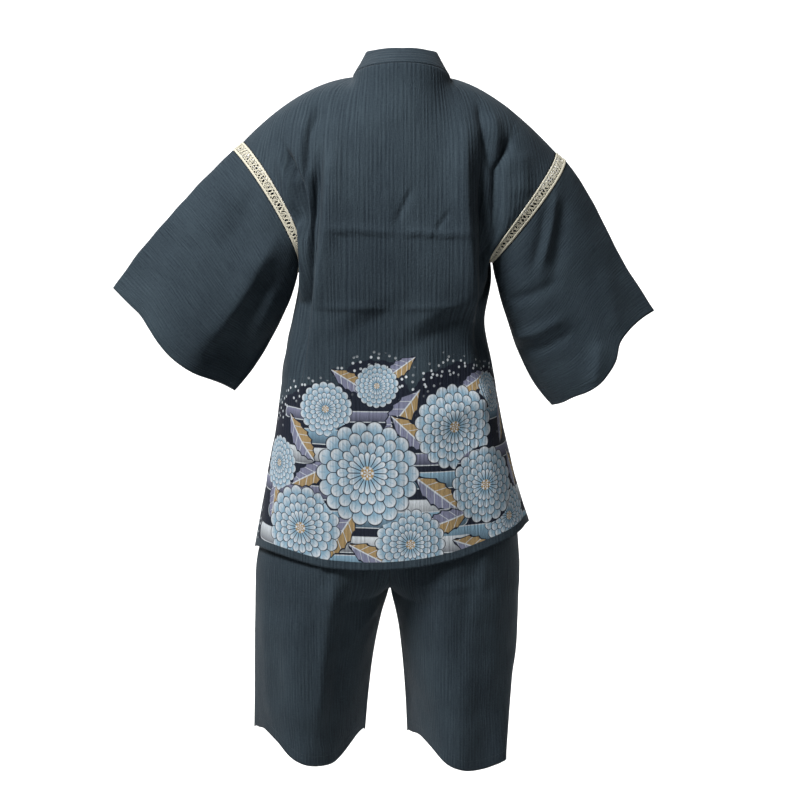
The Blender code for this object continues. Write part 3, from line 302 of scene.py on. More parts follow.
LEG_FRONT_CREASES = [
    Crease(0.030, -0.745, 0.075, -0.700, 0.130, -0.665, 0.0110, 0.0032, 0.2, 0.0),
    Crease(0.032, -0.760, 0.080, -0.740, 0.140, -0.730, 0.0100, 0.0024, 0.2, 0.0),
    Crease(-0.002, -0.745, -0.045, -0.700, -0.100, -0.665, 0.0110, 0.0032, 0.2, 0.0),
    Crease(-0.004, -0.760, -0.050, -0.742, -0.110, -0.735, 0.0100, 0.0024, 0.2, 0.0),
    Crease(0.120, -0.760, 0.126, -0.860, 0.122, -0.970, 0.0160, 0.0036, 0.3, 0.0),
    Crease(0.160, -0.700, 0.172, -0.820, 0.170, -0.950, 0.0150, -0.0030, 0.1, 0.0),
    Crease(-0.090, -0.760, -0.086, -0.860, -0.080, -0.970, 0.0160, 0.0036, 0.3, 0.0),
    Crease(-0.128, -0.700, -0.130, -0.820, -0.120, -0.950, 0.0150, -0.0030, 0.1, 0.0),
]

# Where a stripe of the fronts and of the shorts hangs straight down
FRONT_PLUMB = 0.100
PLUMB = {"left": 0.120, "right": -0.085}
# How far the shorts' cloth keeps inside its solid's face where the jacket covers it
UNDER_JACKET = 0.0012
JACKET_COVERS, COVER_BLEND = 0.655, 0.035

# How far from a seam the folds and the creases reach their full height, and how strong they are in front
Held = namedtuple("Held", "top side")
FOLDS_HELD = Held(0.070, 0.045)
CREASES_HELD = Held(0.012, 0.012)
FRONT_STRENGTH = {"left": 1.4, "right": 0.8}
LEG_STRENGTH = {"back": 1.0, "front": 1.4}

# How finely each piece is divided
BACK_COLUMNS = 210
YOKE_ROWS, SKIRT_ROWS = 84, 117
FRONT_COLUMNS = 60
SLEEVE_ROWS = 72
LEG_COLUMNS, LEG_ROWS = 64, 150
BAND_ROWS, BAND_TURN_ROWS = 8, 5
WAIST_COLUMNS, WAIST_ROWS = 480, 12
KNOT_ROWS, KNOT_COLUMNS = 16, 14
LOOP_ROWS, LOOP_COLUMNS = 18, 12
TAIL_ROWS, TAIL_COLUMNS = 40, 8
FINE = 120

# Where the back is smoothed, below the neck: from the neckband's seam, down to, and in from the sides
SMOOTH_TOP_BLEND = 0.045
SMOOTH_END, SMOOTH_END_BLEND = 0.26, 0.10
SMOOTH_SIDE, SMOOTH_SIDE_BLEND = 0.05, 0.06
SMOOTH_COLUMNS = BACK_COLUMNS // 17

# Where the sewing runs, measured from the cloth's edge
HEM_STITCH = 0.0115
CUFF_STITCH = 0.0105
LEG_STITCH = 0.0155
EDGE_STITCH = 0.0022
BAND_SEAM_STITCH = 0.036
STITCH_MARGIN = 0.006
FREE_EDGE_MARGIN = 0.004

# The neckband's and waistband's cloth, and the waistband's gathers
BAND_FOLD_THICK = 0.0006
BAND_INNER = 0.94
BAND_WAVE_SIZE, BAND_WAVE_SHARE = 0.03, 0.35
WAIST_THICK = 0.0018
GATHERS = 62
GATHER_DEEP = 0.0009

# The lace: how deep it lies, its tapes and their cords, its crossing strands and its knots
LACE_SINK = 0.0007
LACE_STEP = 0.0015
TAPE_THICK = 0.0006
TAPE_MOST = 0.36
CORD_HALF = 0.0004
STRAND_HALF_THICK = 0.0005
STRAND_LIFT = 0.0002
KNOT_RADIUS = 0.0014
KNOT_THREAD = 0.0006
KNOT_OFF = 0.16
KNOT_LIFT = 0.0004
Strand = namedtuple("Strand", "phase reach repeat")
STRANDS = [Strand(0.0, 0.30, 1.0), Strand(0.5, 0.30, 1.0), Strand(0.2, 0.24, 0.8)]

# The camera and the stage
CAMERA_PLACE = (0.003, 2.05, -0.0888)
CAMERA_DOWN = math.radians(10.6)
CAMERA_LENS = 62.55
FLOOR_DROP = 1.50
FLOOR_REACH = 8.0
SWEEP_START, SWEEP_RADIUS, SWEEP_STEPS = -2.4, 1.2, 40
WALL_TOP = 6.0
SET_MIDDLE = (0.0, 0.0, -0.32)
WALL_MIDDLE = (0.0, -3.0, -0.80)
Lamp = namedtuple("Lamp", "name power size spread place aim")
LAMPS = [
    Lamp("key", "key", 1.0, 75, (1.45, 1.6, 2.0), SET_MIDDLE),
    Lamp("front", "front", 1.2, 90, (0.9, -2.2, 1.5), SET_MIDDLE),
    Lamp("wall_left", "wall", 1.2, 120, (1.9, -0.7, 0.9), WALL_MIDDLE),
    Lamp("wall_right", "wall", 1.2, 120, (-1.9, -0.7, 0.9), WALL_MIDDLE),
]


class ClothSizes(PropertyGroup):
    thickness: FloatProperty(
        name="Cloth thickness", description="Thickness of the crepe", default=0.0009, unit="LENGTH"
    )
    creases: FloatProperty(
        name="Creases", description="How strongly the creases show", default=1.0, min=0.0, max=2.0
    )
    wave: FloatProperty(
        name="Unevenness", description="How far the cloth waves", default=0.0022, unit="LENGTH"
    )
    wave_size: FloatProperty(name="Wave size", description="Size of the waves", default=0.075, unit="LENGTH")


class CrepeLook(PropertyGroup):
    dark: FloatVectorProperty(
        name="Dark threads", description="Colour between the slubs", subtype="COLOR", size=4,
        default=(0.020, 0.030, 0.041, 1.0),
    )
    light: FloatVectorProperty(
        name="Light threads", description="Colour of the slubs", subtype="COLOR", size=4,
        default=(0.047, 0.068, 0.084, 1.0),
    )
    stripe: FloatProperty(name="Stripe", description="Repeat of the stripes", default=0.0060, unit="LENGTH")
    slub: FloatProperty(name="Slub", description="Length of a slub", default=0.070, unit="LENGTH")


class PrintLook(PropertyGroup):
    white: FloatVectorProperty(
        name="White", description="Petal tips and mist", subtype="COLOR", size=4,
        default=(0.70, 0.75, 0.79, 1.0),
    )
    blue: FloatVectorProperty(
        name="Light blue", description="Petal bases and mist", subtype="COLOR", size=4,
        default=(0.27, 0.44, 0.57, 1.0),
    )
    violet: FloatVectorProperty(
        name="Grey violet", description="Mist and leaves", subtype="COLOR", size=4,
        default=(0.24, 0.25, 0.36, 1.0),
    )
    navy: FloatVectorProperty(
        name="Navy", description="Ground and outlines", subtype="COLOR", size=4,
        default=(0.009, 0.010, 0.022, 1.0),
    )
    tan: FloatVectorProperty(
        name="Tan", description="Flower middles and leaves", subtype="COLOR", size=4,
        default=(0.42, 0.29, 0.13, 1.0),
    )


class LaceLook(PropertyGroup):
    tape: FloatProperty(name="Tape", description="Width of each edge tape", default=0.0034, unit="LENGTH")
    thread: FloatProperty(
        name="Thread", description="Width of a crossing thread", default=0.0015, unit="LENGTH"
    )
    repeat: FloatProperty(
        name="Repeat", description="Length of the lace's repeat", default=0.012, unit="LENGTH"
    )
    cream: FloatVectorProperty(
        name="Cream", description="Colour of the lace", subtype="COLOR", size=4,
        default=(0.76, 0.72, 0.58, 1.0),
    )


class SewingLook(PropertyGroup):
    stitch: FloatProperty(name="Stitch", description="Length of a stitch", default=0.0027, unit="LENGTH")
    gap: FloatProperty(name="Gap", description="Gap between stitches", default=0.0009, unit="LENGTH")
    wide: FloatProperty(name="Thread", description="Width of the thread", default=0.0005, unit="LENGTH")
    thread: FloatVectorProperty(
        name="Thread colour", description="Colour of the thread", subtype="COLOR", size=4,
        default=(0.060, 0.084, 0.104, 1.0),
    )


class StageLook(PropertyGroup):
    key: FloatProperty(name="Key light", description="Power of the key light", default=25.0, unit="POWER")
    wall: FloatProperty(
        name="Wall light", description="Power of each light on the backdrop", default=60.0, unit="POWER"
    )
    front: FloatProperty(
        name="Front light", description="Power of the light in front", default=10.0, unit="POWER"
    )
    sky: FloatProperty(name="Sky", description="Strength of the even light all round", default=0.07, min=0.0)
    paper: FloatVectorProperty(
        name="Backdrop", description="Colour of the floor and backdrop", subtype="COLOR", size=4,
        default=(0.88, 0.88, 0.88, 1.0),
    )


# Small tools


def mix(a, b, share):
    return a + (b - a) * share


def ease(share):
    share = min(max(share, 0.0), 1.0)
    return share * share * (3.0 - 2.0 * share)


def eased(share):
    share = np.clip(share, 0.0, 1.0)
    return share * share * (3.0 - 2.0 * share)


def read(table, at, column):
    """A column of a table at a place in its first column, on a curve that bends smoothly through the rows."""
    keys = [row[0] for row in table]
    values = [getattr(row, column) for row in table]
    if at <= keys[0]:
        return values[0]
    if at >= keys[-1]:
        return values[-1]
    i = max(k for k in range(len(keys) - 1) if keys[k] <= at)
    slopes = [(values[k + 1] - values[k]) / (keys[k + 1] - keys[k]) for k in range(len(keys) - 1)]
    before = slopes[max(i - 1, 0)]
    after = slopes[min(i + 1, len(slopes) - 1)]
    start, end = (before + slopes[i]) / 2, (slopes[i] + after) / 2
    span = keys[i + 1] - keys[i]
    t = (at - keys[i]) / span
    return (
        values[i] * (1 + 2 * t) * (1 - t) ** 2
        + start * span * t * (1 - t) ** 2
        + values[i + 1] * t * t * (3 - 2 * t)
        + end * span * t * t * (t - 1)
    )


def bezier(p0, p1, p2, p3, t):
    s = 1.0 - t
    return p0 * s**3 + p1 * (3 * s * s * t) + p2 * (3 * s * t * t) + p3 * t**3


def run_along(points):
    """How far along a line each of its points is."""
    return np.concatenate([[0.0], np.cumsum(np.linalg.norm(np.diff(points, axis=0), axis=1))])


def at_lengths(at, reached, values):
    """The points or directions of a line, at these lengths along it."""
    return np.stack([np.interp(at, reached, values[:, k]) for k in range(3)], axis=1)


def evenly(points, count):
    """The same line with count + 1 points, evenly spaced along it."""
    points = np.array([tuple(p) for p in points])
    reached = run_along(points)
    return at_lengths(np.linspace(0.0, reached[-1], count + 1), reached, points)


# The jacket's body, as in the solids


def middle(drop):
    return LEAN * drop


def ridge(arm, share):
    """The shoulder line from the neck's side (0) to the sleeve's top (1)."""
    near, mid, far = (share - 0.5) * (share - 1) * 2, share * (1 - share) * 4, share * (share - 0.5) * 2
    x = arm.neck[0] * near + arm.ridge[0] * mid + arm.shoulder[0] * far
    z = arm.neck[1] * near + arm.ridge[1] * mid + arm.shoulder[1] * far
    return Vector((x, 0.0, z))


def neckline(arm, share):
    """The back of the neck, from its middle (0) to the neck's side (1)."""
    turn = share * math.pi / 2
    return Vector((
        arm.neck[0] * math.sin(turn),
        NECK_BACK[0] * math.cos(turn),
        mix(arm.neck[1], NECK_BACK[1], math.cos(turn)),
    ))


def armpit_point(arm):
    return Vector((arm.armpit[0], 0.0, arm.armpit[1]))


def armpit_drop(arm, across):
    return mix(ARMPIT_ROW_DROP, -arm.armpit[1], across**6)


def side_arm(across):
    return LEFT if across > 0 else RIGHT


def torso_back(across, drop):
    """The jacket's section behind: across runs from the right side seam (-1) to the left (1)."""
    turn = across * math.pi / 2
    s, c = abs(math.sin(turn)), abs(math.cos(turn))
    square = read(TORSO, drop, "square")
    reach = (s**square + c**square) ** (-1 / square)
    side = read(TORSO, drop, side_arm(across).name)
    x = middle(drop) + (side - middle(drop)) * reach * s
    return Vector((x, read(TORSO, drop, "back") * reach * c, -drop))


def back_yoke(across, fall):
    """The back above the armpits: fall runs from the shoulder line (0) to the armpits' row (1)."""
    arm, far = side_arm(across), abs(across)
    if far < NECK_SHARE:
        top = neckline(arm, far / NECK_SHARE)
    else:
        top = ridge(arm, (far - NECK_SHARE) / (1 - NECK_SHARE))
    low = armpit_point(arm) if far >= 1 else torso_back(across, armpit_drop(arm, far))
    near_x = top.x - arm.sign * arm.shoulder_pull * far**4
    near = Vector((near_x, read(BACK_FALL, far, "near_y"), top.z - read(BACK_FALL, far, "near_dip")))
    pull = arm.sign * arm.armpit_pull * read(BACK_FALL, far, "pull")
    lift = read(BACK_FALL, far, "far_lift") + arm.edge_lift * far**4
    away = Vector((low.x - pull, read(BACK_FALL, far, "far_y"), low.z + lift))
    return bezier(top, near, away, low, fall)


def vent(across, drop, hem):
    """How far a vent at the side seam has opened here."""
    return (VENT_GAP / 2) * ease((drop - hem + VENT_HEIGHT) / VENT_HEIGHT) * ease(across * 4 - 3)


def back_skirt(across, fall):
    """The back below the armpits: fall runs from the armpits' row (0) to the hem (1)."""
    hem = read(HEM, across, "drop")
    drop = mix(armpit_drop(side_arm(across), abs(across)), hem, fall)
    return torso_back(across, drop) + Vector((0.0, vent(abs(across), drop, hem), 0.0))


def back_line(surface, fall, columns):
    """A row of the back, with a third of its columns under each shoulder and a third under the neck."""
    line = []
    for start, end in ((-1.0, -NECK_SHARE), (-NECK_SHARE, NECK_SHARE), (NECK_SHARE, 1.0)):
        part = evenly([surface(mix(start, end, k / FINE), fall) for k in range(FINE + 1)], columns // 3)
        line.append(part[1:] if line else part)
    return np.concatenate(line)


def back_rows(columns, yoke_rows, skirt_rows):
    lines = [back_line(back_yoke, i / yoke_rows, columns) for i in range(yoke_rows)]
    return np.array(lines + [back_line(back_skirt, i / skirt_rows, columns) for i in range(skirt_rows + 1)])


def wrap_edge(arm, drop):
    """The free front edge below the chest, past the middle on the other side."""
    return middle(drop) - arm.sign * read(WRAP, drop, "past")


def under_wrap(arm, x, side):
    """How far the right front lies behind the left one that covers it."""
    return 0.0 if arm.sign > 0 else UNDER_WRAP * ease(abs(x - side) / UNDER_WRAP_BLEND)


def torso_front(arm, across, drop):
    """A front's section: across runs from its free edge (0) to its side seam (1)."""
    side = read(TORSO, drop, arm.name)
    x = mix(wrap_edge(arm, drop), side, 1 - (1 - across) ** 2)
    square = read(TORSO, drop, "square")
    other = read(TORSO, drop, "left" if x > middle(drop) else "right")
    share = min(abs((x - middle(drop)) / (other - middle(drop))), 1.0)
    depth = read(TORSO, drop, "front") - under_wrap(arm, x, side)
    return Vector((x, -depth * (1 - share**square) ** (1 / square), -drop))


def front_yoke(arm, across, fall):
    """A front above the armpits: across runs from the neckband's seam (0) to the armhole (1)."""
    top = ridge(arm, across)
    drop = armpit_drop(arm, across)
    low = armpit_point(arm) if across >= 1 else torso_front(arm, across, drop)
    near_x = top.x - arm.sign * (arm.shoulder_pull * across**4 + 0.005 * (1 - across))
    under = under_wrap(arm, low.x, read(TORSO, drop, arm.name))
    near_y, near_dip = read(FRONT_FALL, across, "near_y"), read(FRONT_FALL, across, "near_dip")
    near = Vector((near_x, under - near_y, top.z - near_dip))
    pull = arm.sign * arm.armpit_pull * read(FRONT_FALL, across, "pull")
    lift = read(FRONT_FALL, across, "far_lift") + arm.edge_lift * across**4
    away = Vector((low.x - pull, under - read(FRONT_FALL, across, "far_y"), low.z + lift))
    return bezier(top, near, away, low, fall)


def front_skirt(arm, across, fall):
    hem = read(HEM, arm.sign * across**2, "drop")
    drop = mix(armpit_drop(arm, across), hem, fall)
    return torso_front(arm, across, drop) - Vector((0.0, vent(across, drop, hem), 0.0))


def front_rows(arm, columns, yoke_rows, skirt_rows):
    def line(surface, fall):
        return evenly([surface(arm, k / FINE, fall) for k in range(FINE + 1)], columns)

    rows = [line(front_yoke, i / yoke_rows) for i in range(yoke_rows)]
    rows += [line(front_skirt, i / skirt_rows) for i in range(skirt_rows + 1)]
    # Seen from outside, the left front's columns run from its side seam to its free edge.
    return np.array(rows if arm.sign < 0 else [row[::-1] for row in rows])


def edge_point(arm, side, fall):
    """The armhole's edge on the body from shoulder (0) to armpit (1), behind (1) or in front (-1)."""
    return back_yoke(arm.sign, fall) if side > 0 else front_yoke(arm, 1.0, fall)


def lace_way(arm, side, fall):
    """The way the lace runs off the body's edge."""
    top = Vector((arm.sign * 0.787, 0.0, -0.616))
    half = Vector((arm.sign * 0.76, -side * 0.42, -0.46))
    under = Vector((arm.sign * 1.00, 0.0, 0.02))
    way = top.lerp(half, ease(fall * 2)) if fall < 0.5 else half.lerp(under, ease(fall * 2 - 1))
    return way.normalized()


def lace_width(fall):
    return mix(LACE_TOP, LACE_UNDER, ease(fall * 1.6 - 0.6))


def cuff_point(arm, side, along):
    """The cuff's edge from its top crease (0) to its lower crease (1)."""
    top = Vector((arm.cuff_top[0], 0.0, arm.cuff_top[1]))
    low = Vector((arm.cuff_bottom[0], 0.0, arm.cuff_bottom[1]))
    swing = read(CUFF, along, f"{arm.name}_out") * (1.0 if side > 0 else FRONT_SWING)
    return top.lerp(low, along) + Vector((0.0, side * read(CUFF, along, "deep"), 0.0)) + off_cuff(arm) * swing


def off_cuff(arm):
    """The way out of the cuff, square to the straight line between its creases."""
    (top_x, top_z), (low_x, low_z) = arm.cuff_top, arm.cuff_bottom
    run = Vector((low_x - top_x, 0.0, low_z - top_z)).normalized()
    return Vector((-arm.sign * run.z, 0.0, arm.sign * run.x))


def sleeve_line(arm, side, fall, count):
    """A line of the sleeve's cloth from the lace to the cuff, from its top (0) to its underside (1)."""
    start = edge_point(arm, side, fall) + lace_way(arm, side, fall) * (lace_width(fall) + SEAM_GAP)
    end = cuff_point(arm, side, fall)
    span = (end - start).length * SLEEVE_HANG
    hang = Vector((arm.sign * 0.10, 0.0, -1.0)).normalized()
    leave = (end - start).normalized().lerp(hang, ease(fall * 1.4 - 0.4)).normalized()
    near = start + leave * span + Vector((0.0, side * SLEEVE_BULGE * math.sin(fall * math.pi), 0.0))
    crown = Vector((arm.sign * 0.73, 0.0, 0.68)) * SLEEVE_CROWN * (1 - ease(fall * 2.5))
    away = end - off_cuff(arm) * span
    return [bezier(start, near + crown, away + crown, end, k / count) for k in range(count + 1)]


def collar_half(arm):
    """(seam's point, free edge's point) down one half of the band, from the middle of the neck."""
    around = back_line(back_yoke, 0.0, BACK_COLUMNS)
    centre, per_side = BACK_COLUMNS // 2, BACK_COLUMNS // 6
    neck = [around[centre + arm.sign * k] for k in range(per_side + 1)]
    skirt_rows = round(SKIRT_ROWS * BAND_SKIRT_SHARE)
    edge = [front_yoke(arm, 0.0, k / YOKE_ROWS) for k in range(1, YOKE_ROWS)]
    edge += [front_skirt(arm, 0.0, k / SKIRT_ROWS) for k in range(skirt_rows + 1)]
    seam = [Vector(p) for p in neck] + edge
    reached = [0.0]
    for a, b in zip(seam, seam[1:]):
        reached.append(reached[-1] + (b - a).length)
    pairs = []
    for k, point in enumerate(seam):
        along = reached[k] / reached[-1]
        off = Vector((
            -arm.sign * read(COLLAR, along, "inward"),
            read(COLLAR, along, "back"),
            read(COLLAR, along, "rise"),
        ))
        down = k - per_side
        if down > 0:
            in_yoke = down < YOKE_ROWS
            surface = front_yoke if in_yoke else front_skirt
            fall = down / YOKE_ROWS if in_yoke else (down - YOKE_ROWS) / SKIRT_ROWS
            lying = surface(arm, -BAND_PAST, fall) - surface(arm, 0.0, fall)
            off = off.lerp(lying.normalized() * BAND_WIDTH, ease((along - 0.20) / 0.20))
        pairs.append((point + off.normalized() * SEAM_GAP, point + off))
    return pairs


# The shorts, as in the solids


def leg_point(arm, side, across, drop):
    """Half of the shorts, behind (1) or in front (-1): across runs from the middle or inseam to the side."""
    outer, inner = read(SHORTS, drop, arm.name), read(SHORTS, drop, f"inner_{arm.name}")
    lobe = mix(inner, outer, read(SHORTS, drop, "lobe"))
    turn = (across - 0.5) * math.pi
    shape = max(math.cos(turn), 0.0)
    if across < 0.5:
        left_inside = min(max(read(SHORTS, drop, "inside"), 0.0), 1.0)
        shape = math.sqrt(mix(shape**2, 1.0, left_inside**2))
        x = mix(lobe, inner, -math.sin(turn))
    else:
        x = mix(lobe, outer, math.sin(turn))
    depth = read(SHORTS, drop, "back" if side > 0 else "front")
    outward = ease(math.sin(turn)) * (arm.sign < 0)
    crease = mix(read(SHORTS, drop, "crease"), read(SHORTS, drop, "crease_right"), outward)
    turned = read(SHORTS, drop, "turned") * outward
    return Vector((x, turned + (side * depth - turned) * shape**crease, -drop))


def leg_rows(arm, side):
    rows = []
    for i in range(LEG_ROWS + 1):
        drop = mix(SHORTS_TOP, LEG_HEM, i / LEG_ROWS)
        row = []
        for k in range(LEG_COLUMNS + 1):
            across = k / LEG_COLUMNS
            hem = read(LEG_HEMS, across, arm.name)
            if side < 0:
                hem = mix(getattr(LEG_HEMS[0], arm.name), getattr(LEG_HEMS[-1], arm.name), across)
            below = max(drop - CROTCH_DROP, 0.0) / (LEG_HEM - CROTCH_DROP)
            reached = min(drop, CROTCH_DROP) + below * (hem - CROTCH_DROP)
            row.append(tuple(leg_point(arm, side, across, reached)))
        rows.append(row)
    # Seen from outside, columns run to the right.
    return np.array(rows if arm.sign * side > 0 else [row[::-1] for row in rows])


# Pressing folds and creases into a grid of points


def normals_of(grid, ring=False):
    """The direction square to the cloth at each point of a grid, by its neighbours."""
    down, across = np.gradient(grid, axis=0), np.gradient(grid, axis=1)
    if ring:
        across[:, 0] = across[:, -1] = (grid[:, 1] - grid[:, -2]) / 2
    out = np.cross(across, down)
    return out / np.maximum(np.linalg.norm(out, axis=2, keepdims=True), 1e-12)


def smoothed(grid, columns, share):
    """The grid averaged over its near columns, by a share for each point."""
    reach = np.arange(-3 * columns, 3 * columns + 1)
    weight = np.exp(-((reach / columns) ** 2))
    padded = np.pad(grid, ((0, 0), (3 * columns, 3 * columns), (0, 0)), mode="edge")
    mean = sum(w * padded[:, k : k + grid.shape[1]] for k, w in enumerate(weight / weight.sum()))
    return grid + (mean - grid) * share[:, :, None]


def run_lengths(grid, axis):
    """How far along the cloth each point is from the grid's first row (axis 0) or column (axis 1)."""
    steps = np.linalg.norm(np.diff(grid, axis=axis), axis=2)
    start = np.zeros((1, grid.shape[1])) if axis == 0 else np.zeros((grid.shape[0], 1))
    return np.concatenate([start, np.cumsum(steps, axis=axis)], axis=axis)


def fold_depth(folds, x, z):
    """How far the large folds press the cloth in."""
    total = np.zeros_like(x)
    for fold in folds:
        ax, az = fold.x1 - fold.x0, fold.z1 - fold.z0
        along = ((x - fold.x0) * ax + (z - fold.z0) * az) / (ax * ax + az * az)
        held = np.clip(along, 0.0, 1.0)
        away = np.hypot(x - fold.x0 - held * ax, z - fold.z0 - held * az)
        ends = eased(np.minimum(along + 0.25, 1.25 - along) * 3)
        total += fold.deep * np.exp(-((away / fold.wide) ** 2)) * ends
    return total


def crease_lift(creases, x, z):
    """How far the creases raise the cloth."""
    total = np.zeros_like(x)
    for crease in creases:
        nearest = np.full_like(x, 9.0)
        along, right = np.zeros_like(x), np.zeros_like(x)
        parts = (
            (crease.x0, crease.z0, crease.x1, crease.z1),
            (crease.x1, crease.z1, crease.x2, crease.z2),
        )
        for number, (x0, z0, x1, z1) in enumerate(parts):
            dx, dz = x1 - x0, z1 - z0
            share = np.clip(((x - x0) * dx + (z - z0) * dz) / (dx * dx + dz * dz), 0.0, 1.0)
            away = np.hypot(x - x0 - share * dx, z - z0 - share * dz)
            closer = away < nearest
            nearest = np.where(closer, away, nearest)
            along = np.where(closer, (number + share) / 2, along)
            right = np.where(closer, np.sign((x - x0) * dz - (z - z0) * dx), right)
        off = nearest / (crease.wide * (1 + 0.6 * crease.lean * right))
        shape = (1 - crease.sharp) * np.exp(-off * off) + crease.sharp * np.exp(-1.8 * off)
        total += crease.lift * shape * (0.15 + 0.85 * eased(4 * np.minimum(along, 1 - along)))
    return total


def waves(grid, size, seed):
    """Slow unevenness of the cloth, from -1 to 1."""
    made = np.zeros(grid.shape[:2])
    for i, row in enumerate(grid):
        for j, point in enumerate(row):
            at = Vector(point) / size + Vector((seed, 0.0, 0.0))
            made[i, j] = noise.noise(at) + 0.4 * noise.noise(at * 2.3)
    return made


def draped(grid, folds, creases, side, seed, seams="top sides", ring=False, strength=1.0):
    """The grid with its folds, creases and unevenness, held where it is sewn to its neighbours."""
    sizes = bpy.context.scene.jinbei_cloth
    down, across = run_lengths(grid, 0), run_lengths(grid, 1)
    from_side = np.minimum(across, across[:, -1:] - across)
    normals = normals_of(grid, ring)
    facing = eased(normals[:, :, 1] * side * 2.5)

    def freed(reach):
        """0 where the cloth is sewn to a neighbour and 1 further off."""
        share = np.ones(grid.shape[:2])
        if "top" in seams:
            share = share * eased(down / reach.top)
        if "sides" in seams:
            share = share * eased(from_side / reach.side)
        return share

    pressed = fold_depth(folds, grid[:, :, 0], grid[:, :, 2]) * freed(FOLDS_HELD) * facing
    moved = grid - normals * pressed[:, :, None]
    lift = crease_lift(creases, grid[:, :, 0], grid[:, :, 2]) * facing * sizes.creases * strength
    wave = waves(grid, sizes.wave_size, seed) * sizes.wave * strength
    return moved + normals * ((lift + wave) * freed(CREASES_HELD))[:, :, None]


# Meshes


def placed(name, mesh, finishes):
    for finish in finishes:
        mesh.materials.append(finish)
    piece = bpy.data.objects.new(name, mesh)
    bpy.context.scene.collection.objects.link(piece)
    mesh.shade_smooth()
    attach(piece, "root")
    return piece


def set_map(mesh, name, per_point, corners):
    layer = mesh.uv_layers.new(name=name)
    layer.data.foreach_set("uv", per_point[corners].astype(np.float32).ravel())


def cloth(name, grid, finishes, maps, ring=False, thickness=None):
    """One thin piece of cloth on a grid of points that is its outside, with its weave's maps.

    Without a thickness it has the crepe's own, and with 0 it stays a single face.
    """
    height, width = grid.shape[:2]
    rows, columns = np.meshgrid(np.arange(height - 1), np.arange(width - 1), indexing="ij")
    corner = (rows * width + columns).ravel()
    quads = np.stack([corner, corner + 1, corner + width + 1, corner + width], axis=1)
    points, face_points = grid.reshape(-1, 3), quads
    if ring:
        keep = np.arange(height * width).reshape(height, width)
        keep[:, -1] = keep[:, 0]
        face_points = keep.ravel()[quads]
    mesh = bpy.data.meshes.new(name)
    mesh.from_pydata(points.tolist(), [], face_points.tolist())
    for map_name, values in maps.items():
        set_map(mesh, map_name, values.reshape(-1, 2), quads.ravel())
    piece = placed(name, mesh, finishes)
    if ring:
        clear_loose(mesh)
    if thickness == 0:
        return piece
    solid = piece.modifiers.new("thickness", "SOLIDIFY")
    solid.thickness = thickness or bpy.context.scene.jinbei_cloth.thickness
    solid.offset = -1.0
    solid.material_offset = len(finishes) - 1
    return piece


def clear_loose(mesh):
    """Takes out the points that no face uses."""
    used = np.zeros(len(mesh.vertices), bool)
    corners = np.zeros(len(mesh.loops), np.int32)
    mesh.loops.foreach_get("vertex_index", corners)
    used[corners] = True
    if used.all():
        return
    working = bmesh.new()
    working.from_mesh(mesh)
    working.verts.ensure_lookup_table()
    bmesh.ops.delete(working, geom=[v for v in working.verts if not used[v.index]], context="VERTS")
    working.to_mesh(mesh)
    working.free()


def level_lengths(grid, plumb):
    """How far along the level each point is from a line that hangs straight down at x = plumb."""
    level = grid * np.array((1.0, 1.0, 0.0))
    reached = run_lengths(level, 1)
    for i, row in enumerate(grid):
        crossing = np.argmin(np.abs(row[:, 0] - plumb))
        reached[i] -= reached[i, crossing] + abs(plumb - row[crossing, 0]) * np.sign(plumb - row[crossing, 0])
    return reached


def weave_maps(grid, plumb=None, turned=False, top_seam=True):
    """The cloth map runs across and along the stripes; the edge map holds the way to the hem and a seam."""
    down, across = run_lengths(grid, 0), run_lengths(grid, 1)
    from_hem = down[-1:, :] - down
    from_seam = np.minimum(across, across[:, -1:] - across)
    if top_seam:
        from_seam = np.minimum(from_seam, down)
    if plumb is not None:
        across, down = level_lengths(grid, plumb), -grid[:, :, 2]
    if turned:
        down = down / down[-1:, :] * down[-1].mean()
    return {
        "cloth": np.stack([down, across] if turned else [across, down], axis=2),
        "edge": np.stack([from_hem, from_seam], axis=2),
    }


class Bundle:
    """Many small closed forms gathered in one mesh."""

    def __init__(self):
        self.points, self.faces = [], []

    def sweep(self, line, normals, half_wide, half_thick, sides=6, closed=False, taper=0.0):
        """A flat or round strand along a line, with its wide way square to the normals."""
        line, normals = np.asarray(line, float), np.asarray(normals, float)
        ways = np.gradient(line, axis=0)
        if closed:
            ways[0] = ways[-1] = (line[1] - line[-2]) / 2
        ways /= np.maximum(np.linalg.norm(ways, axis=1, keepdims=True), 1e-12)
        across = np.cross(ways, normals)
        across /= np.maximum(np.linalg.norm(across, axis=1, keepdims=True), 1e-12)
        up = np.cross(across, ways)
        turn = (np.arange(sides) + 0.5) * 2 * math.pi / sides
        size = np.ones(len(line))
        if taper:
            ends = np.minimum(np.arange(len(line)), np.arange(len(line))[::-1])
            size = np.where(ends == 0, 1 - taper, 1.0)
        count = len(line) - (1 if closed else 0)
        start = len(self.points)
        for k in range(count):
            for angle in turn:
                self.points.append(
                    line[k]
                    + across[k] * (math.cos(angle) * half_wide * size[k])
                    + up[k] * (math.sin(angle) * half_thick * size[k])
                )
        for k in range(count if closed else count - 1):
            a, b = start + k * sides, start + (k + 1) % count * sides
            for s in range(sides):
                t = (s + 1) % sides
                self.faces.append((a + s, a + t, b + t, b + s))
        if not closed:
            last = start + (count - 1) * sides
            self.faces.append(tuple(start + s for s in reversed(range(sides))))
            self.faces.append(tuple(last + s for s in range(sides)))

    def build(self, name, finish):
        mesh = bpy.data.meshes.new(name)
        mesh.from_pydata([tuple(p) for p in self.points], [], self.faces)
        return placed(name, mesh, [finish])


